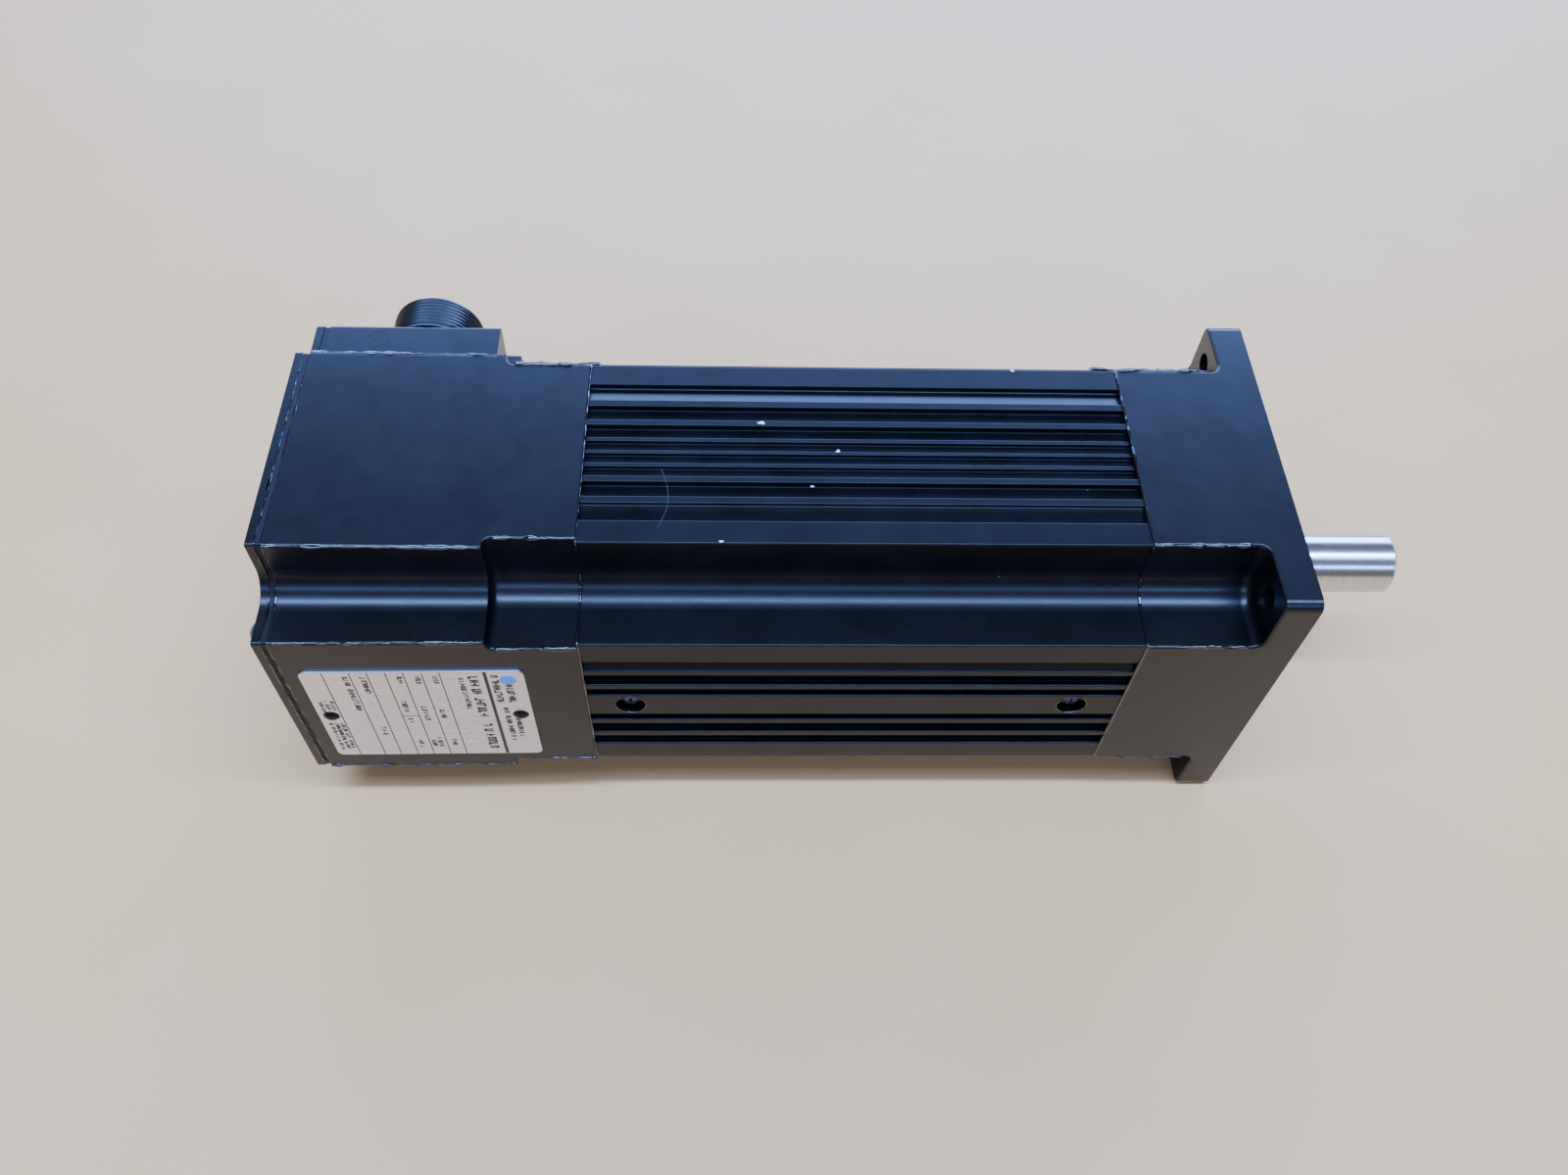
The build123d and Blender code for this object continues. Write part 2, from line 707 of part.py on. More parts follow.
def bearing(name, x_from, width, bore_r, outer_r, ball_r, ball_count):
    """A deep-groove ball bearing: outer ring, inner ring, balls and a one-piece cage."""
    mid_x = x_from + width / 2
    pitch_r = (bore_r + outer_r) / 2
    groove_r = ball_r + groove_slack
    turns = [radians(360 / ball_count * ball) for ball in range(ball_count)]
    ball_places = [(mid_x, pitch_r * cos(turn), pitch_r * sin(turn)) for turn in turns]
    with BuildPart() as inner_ring:
        add(ring(x_from, x_from + width, bore_r + fit_gap, pitch_r - ball_r * land_step).part)
        with BuildSketch(Plane.XY):
            with Locations((mid_x, pitch_r + groove_slack - ball_gap)):
                Circle(groove_r)
        revolve(axis=Axis.X, mode=Mode.SUBTRACT)
    save(inner_ring, f"{name}_bearing_inner_ring")
    with BuildPart() as outer_ring:
        add(ring(x_from, x_from + width, pitch_r + ball_r * land_step, outer_r - fit_gap).part)
        with BuildSketch(Plane.XY):
            with Locations((mid_x, pitch_r - groove_slack + ball_gap)):
                Circle(groove_r)
        revolve(axis=Axis.X, mode=Mode.SUBTRACT)
    save(outer_ring, f"{name}_bearing_outer_ring")
    with BuildPart() as balls:
        for place in ball_places:
            with Locations(place):
                Sphere(ball_r)
    save(balls, f"{name}_bearing_balls")
    with BuildPart() as cage:
        cage_half = ball_r + cage_rim
        add(ring(mid_x - cage_half, mid_x + cage_half, pitch_r - cage_web, pitch_r + cage_web).part)
        for ball, place in enumerate(ball_places):
            with Locations(Location(place, (360 / ball_count * ball - 90, 0, 0))):
                Cylinder(ball_r + fit_gap, 4 * cage_web, mode=Mode.SUBTRACT)
    save(cage, f"{name}_bearing_cage")


bearing("front", bearing1_rear_x, bearing1_width, front_journal_r, bearing1_r,
        front_ball_r, front_ball_count)
bearing("rear", bearing2_rear_x, bearing2_width, rear_journal_r, bearing2_r,
        rear_ball_r, rear_ball_count)

retainer_grip = 1.4
retainer_inward = 2.2
retainer_gap_width = 9.0
with BuildPart() as bearing_retaining_ring:
    with BuildSketch(station(retainer_x - retainer_thick)):
        Circle(bearing1_r + retainer_grip)
        Circle(bearing1_r - retainer_inward, mode=Mode.SUBTRACT)
        with Locations((0, bearing1_r)):
            Rectangle(retainer_gap_width, 12, mode=Mode.SUBTRACT)
    extrude(amount=retainer_thick)
save(bearing_retaining_ring, "bearing_retaining_ring")

spring_thick = 0.6
spring_edge_gap = 0.6
spring_width = 4.0
spring_mid_x = (spring_x + bearing2_rear_x) / 2
with BuildPart() as preload_spring:
    with BuildSketch(station(spring_mid_x - spring_thick / 2)):
        Circle(bearing2_r - spring_edge_gap)
        Circle(bearing2_r - spring_edge_gap - spring_width, mode=Mode.SUBTRACT)
    extrude(amount=spring_thick)
save(preload_spring, "preload_spring")

seal_lip_gap = 0.06
seal_inner_x = seal_back_x + 0.3
seal_front_x = -0.8
seal_case_thick = 0.9
seal_case_r = seal_journal_r + 3.0
dust_lip_r = seal_journal_r + 0.6
shaft_seal = turned([
    (seal_inner_x, seal_r - fit_gap), (seal_inner_x, seal_case_r),
    (seal_inner_x + seal_case_thick, seal_case_r),
    (seal_inner_x + 2.1, seal_journal_r + seal_lip_gap),
    (seal_inner_x + 3.1, seal_journal_r + seal_lip_gap + 0.5),
    (seal_inner_x + 4.1, seal_journal_r + 2), (seal_front_x - 0.8, dust_lip_r), (seal_front_x, dust_lip_r),
    (seal_front_x, seal_r - fit_gap),
])
save(shaft_seal, "shaft_seal")

# ==========================================================================================
# Resolver: stator clamped to the bulkhead, rotor on the shaft's tail
# ==========================================================================================
resolver_bore_r = 15.0
resolver_front_x = bulkhead_x - 0.1
resolver_length = 13.0
resolver_rotor_r = resolver_bore_r - 0.4
clamp_thick = 1.6
clamp_seat_x = resolver_front_x - 5.0
clamp_in_r = 26.2
clamp_out_r = 33.5
resolver_rear_x = resolver_front_x - resolver_length
resolver_foot = 1.5
clamp_size = (7.0, 9.0)
clamp_corner_r = 1.5
clamp_screw_head = (2.3, 1.5)
clamp_screw_shank = 11.0
collar_length = 7.9
collar_thick = 4.0
collar_screw_r = 1.25

with BuildPart() as resolver_stator:
    with BuildSketch(Plane.XY):
        with BuildLine():
            Polyline(
                (resolver_rear_x, resolver_bore_r), (resolver_front_x, resolver_bore_r),
                (resolver_front_x, resolver_r + resolver_foot), (clamp_seat_x, resolver_r + resolver_foot),
                (clamp_seat_x, resolver_r), (resolver_rear_x, resolver_r), close=True,
            )
        make_face()
    revolve(axis=Axis.X)
save(resolver_stator, "resolver_stator")

with BuildPart() as resolver_clamps:
    with BuildSketch(station(clamp_seat_x - clamp_thick)):
        with PolarLocations(0, 3, start_angle=90):
            with Locations((resolver_screw_pcd / 2, 0)):
                RectangleRounded(*clamp_size, clamp_corner_r)
        with PolarLocations(resolver_screw_pcd / 2, 3, start_angle=90):
            Circle(resolver_tap_r + 0.2, mode=Mode.SUBTRACT)
        Circle(clamp_in_r, mode=Mode.SUBTRACT)
    extrude(amount=clamp_thick)
save(resolver_clamps, "resolver_clamps")

clamp_screw = cross_screw(*clamp_screw_head, resolver_tap_r - fit_gap, clamp_screw_shank)
with BuildPart() as resolver_clamp_screws:
    for turn in (90, 210, 330):
        y = resolver_screw_pcd / 2 * cos(radians(turn))
        z = resolver_screw_pcd / 2 * sin(radians(turn))
        with Locations(Location((clamp_seat_x - clamp_thick, y, z), (0, -90, 0))):
            add(clamp_screw)
save(resolver_clamp_screws, "resolver_clamp_screws")

resolver_rotor = ring(
    resolver_rear_x + 1, resolver_front_x - 1, resolver_seat_r + fit_gap, resolver_rotor_r
)
save(resolver_rotor, "resolver_rotor")
collar_front_x = resolver_rear_x + 0.9
collar_rear_x = collar_front_x - collar_length

with BuildPart() as resolver_collar:
    add(ring(collar_rear_x, collar_front_x, resolver_seat_r + fit_gap, resolver_seat_r + collar_thick).part)
    with Locations((collar_rear_x + collar_length / 2, 0, resolver_seat_r + collar_thick)):
        Cylinder(collar_screw_r, 2 * collar_thick, mode=Mode.SUBTRACT)
save(resolver_collar, "resolver_collar")

# ==========================================================================================
# Connectors: threaded shells screwed into the pad, sealing washers, inserts and pins
# ==========================================================================================
washer_thick = 0.9
washer_r = 14.6
neck_r = 13.3
neck_length = 1.6
rim_length = 1.4
thread_depth = 0.55
stem_end_y = 50.1
insert_face_y = 56.0
pin_tip_y = 65.0
cup_end_y = 45.5
key_width = 1.8
key_deep = 2.0
power_pin_r = 1.6
power_pin_circle = 10.5
feedback_pin_r = 0.8
feedback_pin_circle = 15.0
shell_end_y = pad_face + shell_reach
thread_start_y = shell_end_y - rim_length - thread_turns * thread_pitch


def connector_shell(x, z):
    """A receptacle shell along +Y, with a ring-cut thread, turned about its own axis."""
    threads = []
    for turn in range(thread_turns):
        y = thread_start_y + turn * thread_pitch
        threads += [
            (thread_r - thread_depth, y + 0.15 * thread_pitch), (thread_r, y + 0.5 * thread_pitch),
            (thread_r, y + 0.65 * thread_pitch), (thread_r - thread_depth, y + thread_pitch),
        ]
    with BuildPart() as shell:
        with BuildSketch(Plane.XY):
            with BuildLine():
                Polyline(
                    (socket_r, stem_end_y), (shell_stem_r, stem_end_y),
                    (shell_stem_r, pad_face + washer_thick), (neck_r, pad_face + washer_thick),
                    (neck_r, thread_start_y), *threads,
                    (thread_r - 0.1, shell_end_y - rim_length + 0.3), (thread_r - 0.1, shell_end_y - 0.5),
                    (thread_r - 0.6, shell_end_y), (socket_r, shell_end_y), close=True,
                )
            make_face()
        revolve(axis=Axis.Y)
        with Locations((0, (insert_face_y + pin_tip_y) / 2, socket_r)):
            Box(key_width, pin_tip_y - insert_face_y, key_deep)
    return shell.part.moved(Location((x, 0, z)))


def pin_ring(count, pcd, centre):
    """Pin places round the insert, and one in the middle if asked for."""
    turns = [radians(90 + 360 / count * pin) for pin in range(count)]
    return [(pcd / 2 * cos(turn), pcd / 2 * sin(turn)) for turn in turns] + ([(0.0, 0.0)] if centre else [])


def connector(name, x, z, pin_places, pin_r):
    """One receptacle: shell, moulded insert and its contact pins."""
    with BuildPart() as shell:
        add(connector_shell(x, z))
    save(shell, f"{name}_connector_shell")
    face = Plane(origin=(x, insert_face_y, z), x_dir=(-1, 0, 0), z_dir=(0, 1, 0))
    with BuildPart() as insert:
        with BuildSketch(face):
            Circle(socket_r - fit_gap)
            with Locations(*pin_places):
                Circle(pin_r + fit_gap, mode=Mode.SUBTRACT)
            with Locations((0, socket_r)):
                Rectangle(key_width + 0.2, key_deep + 0.4, mode=Mode.SUBTRACT)
        extrude(amount=stem_end_y - insert_face_y)
    save(insert, f"{name}_connector_insert")
    with BuildPart() as pins:
        with BuildSketch(face.offset(cup_end_y - insert_face_y)):
            with Locations(*pin_places):
                Circle(pin_r)
        extrude(amount=pin_tip_y - cup_end_y)
        tips = pins.faces().filter_by(Axis.Y).group_by(Axis.Y)[-1].edges()
        fillet(tips, pin_r * 0.6)
    save(pins, f"{name}_connector_pins")


connector("power", connector_x, power_z, pin_ring(4, power_pin_circle, False), power_pin_r)
connector("feedback", connector_x, feedback_z, pin_ring(9, feedback_pin_circle, True), feedback_pin_r)

with BuildPart() as connector_washers:
    for x, z in connector_places:
        with BuildSketch(Plane(origin=(x, pad_face, z), x_dir=(-1, 0, 0), z_dir=(0, 1, 0))):
            Circle(washer_r)
            Circle(shell_stem_r + fit_gap, mode=Mode.SUBTRACT)
        extrude(amount=washer_thick)
save(connector_washers, "connector_washers")

# ==========================================================================================
# Lead bundles: connectors to the windings and to the resolver
# ==========================================================================================
power_lead_r = 3.2
feedback_lead_r = 2.2
lead_bend_r = 10.0
feedback_turn_y = 33.5
feedback_entry_x = resolver_front_x - 8
grommet_rim = 1.8
grommet_rim_thick = 1.4


def lead_bundle(points, lead_r):
    """A sleeved bundle of wires along straight runs joined by round bends."""
    with BuildPart() as bundle:
        with BuildLine() as route:
            FilletPolyline(*points, radius=lead_bend_r * lead_r / power_lead_r)
        with BuildSketch(Plane(origin=points[0], z_dir=route.line % 0)):
            Circle(lead_r)
        sweep(path=route.line)
    return bundle


power_leads = lead_bundle([
    (connector_x, cup_end_y, lead_hole[1]), (connector_x, lead_hole[0], lead_hole[1]),
    (stack_rear_x - end_turn_length, lead_hole[0], lead_hole[1]),
], power_lead_r)
save(power_leads, "power_leads")

feedback_leads = lead_bundle([
    (connector_x, cup_end_y, feedback_z), (connector_x, feedback_turn_y, feedback_z),
    (feedback_entry_x, feedback_turn_y, feedback_z), (feedback_entry_x, resolver_r - 0.2, feedback_z),
], feedback_lead_r)
save(feedback_leads, "feedback_leads")

with BuildPart() as lead_grommet:
    with BuildSketch(station(bulkhead_x)):
        with Locations(lead_hole):
            Circle(lead_hole_r - fit_gap)
            Circle(power_lead_r + fit_gap, mode=Mode.SUBTRACT)
    extrude(amount=bulkhead_thick)
    with BuildSketch(station(bulkhead_x)):
        with Locations(lead_hole):
            Circle(lead_hole_r + grommet_rim)
            Circle(power_lead_r + fit_gap, mode=Mode.SUBTRACT)
    extrude(amount=-grommet_rim_thick)
save(lead_grommet, "lead_grommet")
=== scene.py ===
import json
import math

import bpy
import numpy as np
from mathutils import Matrix, Vector


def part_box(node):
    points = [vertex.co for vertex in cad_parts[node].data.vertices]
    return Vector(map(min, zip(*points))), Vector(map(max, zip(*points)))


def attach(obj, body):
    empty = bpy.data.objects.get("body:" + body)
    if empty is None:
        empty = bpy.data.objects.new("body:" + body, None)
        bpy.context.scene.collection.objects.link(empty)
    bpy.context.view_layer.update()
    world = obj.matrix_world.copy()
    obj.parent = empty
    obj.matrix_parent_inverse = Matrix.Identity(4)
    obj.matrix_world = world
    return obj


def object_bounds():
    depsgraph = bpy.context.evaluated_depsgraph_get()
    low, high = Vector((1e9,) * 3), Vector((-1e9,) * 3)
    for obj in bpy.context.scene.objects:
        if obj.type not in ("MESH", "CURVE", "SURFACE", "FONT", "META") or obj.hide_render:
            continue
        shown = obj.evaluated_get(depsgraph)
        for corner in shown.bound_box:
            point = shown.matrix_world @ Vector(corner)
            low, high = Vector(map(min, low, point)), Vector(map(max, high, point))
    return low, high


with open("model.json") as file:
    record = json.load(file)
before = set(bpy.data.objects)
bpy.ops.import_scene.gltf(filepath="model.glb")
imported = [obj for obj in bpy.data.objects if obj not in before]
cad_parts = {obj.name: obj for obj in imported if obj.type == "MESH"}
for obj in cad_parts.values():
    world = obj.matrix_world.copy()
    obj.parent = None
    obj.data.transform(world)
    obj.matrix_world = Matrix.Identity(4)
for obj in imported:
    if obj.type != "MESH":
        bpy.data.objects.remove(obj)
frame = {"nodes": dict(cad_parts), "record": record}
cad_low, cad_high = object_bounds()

# A brushless servomotor lying on its side: black enamelled castings either end of a finned
# tube, a ground steel shaft, a riveted aluminium plate and threaded connectors on the far side.
# Lengths are in metres unless a name or a docstring says millimetres; mm() turns those into metres.


def mm(value):
    """Millimetres to metres, for one number or a whole array."""
    return np.asarray(value, float) / 1000.0 if np.ndim(value) else value / 1000.0


# --- places read from the frame ----------------------------------------------------------------
front_low, front_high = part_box("front_housing")
tube_low, tube_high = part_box("stator_housing")
rear_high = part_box("rear_housing")[1]
gasket_low, gasket_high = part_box("rear_gasket")
plate_low, plate_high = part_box("name_plate")
FLANGE_HALF = front_high.y
TUBE_HALF = tube_high.y
FLOOR_Z = front_low.z
FRONT_SEAM_X = tube_high.x
REAR_SEAM_X = tube_low.x
CAST_REAR_X = gasket_high.x
GASKET_REAR_X = gasket_low.x
REAR_HALF_BACK = rear_high.z
REAR_HALF_FRONT = mm(53.85)

# --- the corner notches, screws, grooves and connector pad, as the CAD has them -------------------
FRONT_WALL = mm(32.9)
TUBE_WALL = mm(33.0)
STEP_WALL = mm(32.2)
REAR_WALL = mm(35.7)
NOTCH_R = mm(8.2)
TUBE_EDGE_R = mm(0.5)
COVER_EDGE_R = mm(0.8)
STEP_X = mm(-225.5)
FLANGE_BACK_X = mm(-10.4)
PAD_TOP = mm(45.0)
SCREW_XS = (mm(-57.0), mm(-188.1))
RECESS_R = mm(4.5)
FIN_ZONE = mm(26.0)
FAR_GROOVE_Y = mm(22.2)
FAR_GROOVE_HALF = mm(4.2)


# =================================================================================================
# Camera: where the eye stands, measured from the shaft axis at the flange's face
# =================================================================================================
EYE = Vector((mm(-158.4), mm(-242.6), mm(335.3)))
PITCH = -0.9647
YAW = 0.0703
ROLL = 0.0619
LENS_MM = 29.76
SENSOR_MM = 36.0


def aim_camera():
    """Camera axes from three turns: yaw about Z, pitch below the horizon, roll about the sight line."""
    level_reach = math.cos(PITCH)
    forward = Vector((math.sin(YAW) * level_reach, math.cos(YAW) * level_reach, math.sin(PITCH)))
    level = Vector((math.cos(YAW), -math.sin(YAW), 0.0))
    upright = level.cross(forward)
    right = level * math.cos(ROLL) + upright * math.sin(ROLL)
    up = upright * math.cos(ROLL) - level * math.sin(ROLL)
    data = bpy.data.cameras.new("camera")
    data.lens = LENS_MM
    data.sensor_width = SENSOR_MM
    data.clip_start = 0.01
    camera = bpy.data.objects.new("camera", data)
    bpy.context.scene.collection.objects.link(camera)
    turn = Matrix((right, up, -forward)).transposed().to_4x4()
    camera.matrix_world = Matrix.Translation(EYE) @ turn
    bpy.context.scene.camera = camera


aim_camera()


# =================================================================================================
# Node and colour helpers
# =================================================================================================
def colour(code):
    """An sRGB hex code as a linear colour with full alpha."""
    channels = [int(code[i:i + 2], 16) / 255 for i in (1, 3, 5)]
    linear = [c / 12.92 if c <= 0.04045 else ((c + 0.055) / 1.055) ** 2.4 for c in channels]
    return (*linear, 1.0)


def per_metre(size_mm):
    """A pattern's scale, in repeats per metre, from the size of one repeat in millimetres."""
    return 1000.0 / size_mm


def add_node(tree, kind, settings, links):
    """Add a node: settings are its properties or unlinked inputs, links feed its other inputs."""
    node = tree.nodes.new("ShaderNode" + kind)
    for key, value in settings.items():
        if isinstance(key, str) and hasattr(node, key):
            setattr(node, key, value)
        else:
            node.inputs[key].default_value = value
    for socket, source in links.items():
        tree.links.new(source, node.inputs[socket])
    return node


def new_material(name, **uniform):
    """A Principled material with values that are the same all over, its tree, shader and place."""
    material = bpy.data.materials.new(name)
    material.use_nodes = True
    tree = material.node_tree
    tree.nodes.clear()
    output = tree.nodes.new("ShaderNodeOutputMaterial")
    shader = tree.nodes.new("ShaderNodeBsdfPrincipled")
    for key, value in uniform.items():
        shader.inputs[key.replace("_", " ")].default_value = value
    tree.links.new(shader.outputs[0], output.inputs[0])
    place = tree.nodes.new("ShaderNodeTexCoord").outputs["Object"]
    return material, tree, shader, place


def dust(tree, place, spacing_mm, size_mm, share):
    """1 on sparse round specks and 0 elsewhere: a share of the cells of a random grid holds one."""
    rim = size_mm / spacing_mm
    cells = add_node(tree, "TexVoronoi", {"Scale": per_metre(spacing_mm)}, {"Vector": place}).outputs
    near = add_node(tree, "MapRange", {1: rim, 2: rim / 2}, {0: cells["Distance"]}).outputs[0]
    lottery = add_node(tree, "SeparateColor", {}, {"Color": cells["Color"]}).outputs[0]
    chosen = add_node(tree, "Math", {"operation": "LESS_THAN", 1: share}, {0: lottery}).outputs[0]
    return add_node(tree, "Math", {"operation": "MULTIPLY"}, {0: near, 1: chosen}).outputs[0]


# =================================================================================================
# Materials
# =================================================================================================
def enamel(name, roughness, grain_mm, grain_deep_mm, dusting, shine=0.33):
    """Sprayed semi-gloss black enamel: nearly black, with a soft sheen broken by orange peel."""
    material, tree, shader, place = new_material(name, IOR=1.5, Specular_IOR_Level=shine)
    # the pigment's own drift from blue-black to black, with pale specks of dust caught in it
    drift = add_node(tree, "TexNoise", {"Scale": per_metre(14.0)}, {"Vector": place}).outputs[0]
    shade = add_node(tree, "MapRange", {1: 0.35, 2: 0.65}, {0: drift}).outputs[0]
    pigment = {"data_type": "RGBA", 6: colour("#050608"), 7: colour("#0b0c10")}
    base = add_node(tree, "Mix", pigment, {0: shade}).outputs[2]
    specks = dust(tree, place, 3.2, 0.22, dusting)
    speckled = {"data_type": "RGBA", 7: colour("#7f8790")}
    base = add_node(tree, "Mix", speckled, {0: specks, 6: base}).outputs[2]
    tree.links.new(base, shader.inputs["Base Color"])
    # the gloss wanders a little from place to place, and a speck of dust is dull
    lumps = {"Scale": per_metre(5.0), "Detail": 4.0}
    patches = add_node(tree, "TexNoise", lumps, {"Vector": place}).outputs[0]
    span = {1: 0.3, 2: 0.7, 3: roughness - 0.012, 4: roughness + 0.015}
    gloss = add_node(tree, "MapRange", span, {0: patches}).outputs[0]
    dull = add_node(tree, "Math", {"operation": "MULTIPLY", 1: 0.8}, {0: specks}).outputs[0]
    gloss = add_node(tree, "Math", {"operation": "MAXIMUM"}, {0: gloss, 1: dull}).outputs[0]
    tree.links.new(gloss, shader.inputs["Roughness"])
    # orange peel
    peel_size = {"Scale": per_metre(grain_mm), "Detail": 1.0}
    peel = add_node(tree, "TexNoise", peel_size, {"Vector": place}).outputs[0]
    bump = add_node(tree, "Bump", {"Strength": 1.0, "Distance": mm(grain_deep_mm)}, {"Height": peel})
    tree.links.new(bump.outputs[0], shader.inputs["Normal"])
    return material, tree, shader, place


def cast_enamel():
    """Enamel on a sand-smooth casting: an even blue-black sheen with a few dust nibs."""
    return enamel("semi_gloss_enamel_on_casting", 0.30, 1.6, 0.004, 0.012)[0]


def extrusion_enamel():
    """Enamel on the drawn tube: even on the lands, dull and gritty down in the grooves."""
    material, tree, shader, place = enamel("semi_gloss_enamel_on_extrusion", 0.32, 1.6, 0.004, 0.02, 0.24)
    axes = add_node(tree, "SeparateXYZ", {}, {"Vector": place}).outputs
    across = add_node(tree, "Math", {"operation": "ABSOLUTE"}, {0: axes[1]}).outputs[0]
    upward = add_node(tree, "Math", {"operation": "ABSOLUTE"}, {0: axes[2]}).outputs[0]
    # how far below the outer face a point lies, and how far from that face's middle line
    reach = add_node(tree, "Math", {"operation": "MAXIMUM"}, {0: across, 1: upward}).outputs[0]
    depth = add_node(tree, "Math", {"operation": "SUBTRACT", 0: TUBE_HALF}, {1: reach}).outputs[0]
    offset = add_node(tree, "Math", {"operation": "MINIMUM"}, {0: across, 1: upward}).outputs[0]
    sunk = add_node(tree, "MapRange", {1: mm(0.85), 2: mm(1.25)}, {0: depth}).outputs[0]
    finned = add_node(tree, "Math", {"operation": "LESS_THAN", 1: FIN_ZONE}, {0: offset}).outputs[0]
    # the widest groove of the top and bottom, on the connector side, is as glossy as the lands
    from_clean = add_node(tree, "Math", {"operation": "SUBTRACT", 1: FAR_GROOVE_Y}, {0: axes[1]}).outputs[0]
    from_clean = add_node(tree, "Math", {"operation": "ABSOLUTE"}, {0: from_clean}).outputs[0]
    past_clean = {"operation": "GREATER_THAN", 1: FAR_GROOVE_HALF}
    gritty = add_node(tree, "Math", past_clean, {0: from_clean}).outputs[0]
    in_grooves = add_node(tree, "Math", {"operation": "MULTIPLY"}, {0: sunk, 1: finned}).outputs[0]
    in_grooves = add_node(tree, "Math", {"operation": "MULTIPLY"}, {0: in_grooves, 1: gritty}).outputs[0]
    grains = {"Scale": per_metre(0.6), "Detail": 3.0}
    grit = add_node(tree, "TexNoise", grains, {"Vector": place}).outputs[0]
    grit = add_node(tree, "MapRange", {1: 0.35, 2: 0.65, 3: 0.75, 4: 1.0}, {0: grit}).outputs[0]
    dull = add_node(tree, "Math", {"operation": "MULTIPLY"}, {0: in_grooves, 1: grit}).outputs[0]
    sheen = add_node(tree, "MapRange", {3: 0.24, 4: 0.06}, {0: dull}).outputs[0]
    tree.links.new(sheen, shader.inputs["Specular IOR Level"])
    return material


def pooled_enamel():
    """Enamel that ran and pooled along an edge: wet-looking, with sharp bright glints."""
    return enamel("pooled_enamel", 0.14, 0.9, 0.01, 0.0, 0.9)[0]


def grained(name, light, dark, grain_mm, stretch, roughness, deep_mm, **uniform):
    """A finish made of one stretched grain that varies the colour, the gloss and the height."""
    material, tree, shader, place = new_material(name, **uniform)
    along = add_node(tree, "Mapping", {"Scale": stretch}, {"Vector": place}).outputs[0]
    grain_size = {"Scale": per_metre(grain_mm), "Detail": 4.0, "Roughness": 0.6}
    grain = add_node(tree, "TexNoise", grain_size, {"Vector": along}).outputs[0]
    mask = add_node(tree, "MapRange", {1: 0.3, 2: 0.7}, {0: grain}).outputs[0]
    tones = {"data_type": "RGBA", 6: colour(dark), 7: colour(light)}
    tree.links.new(add_node(tree, "Mix", tones, {0: mask}).outputs[2], shader.inputs["Base Color"])
    span = {1: 0.3, 2: 0.7, 3: roughness[1], 4: roughness[0]}
    tree.links.new(add_node(tree, "MapRange", span, {0: grain}).outputs[0], shader.inputs["Roughness"])
    bump = add_node(tree, "Bump", {"Strength": 1.0, "Distance": mm(deep_mm)}, {"Height": grain})
    tree.links.new(bump.outputs[0], shader.inputs["Normal"])
    return material


# How a grain is drawn out: along each axis whose number is small.
AROUND_SHAFT = (1.0, 0.02, 0.02)
ALONG_X = (0.03, 1.0, 1.0)
EVEN = (1.0, 1.0, 1.0)

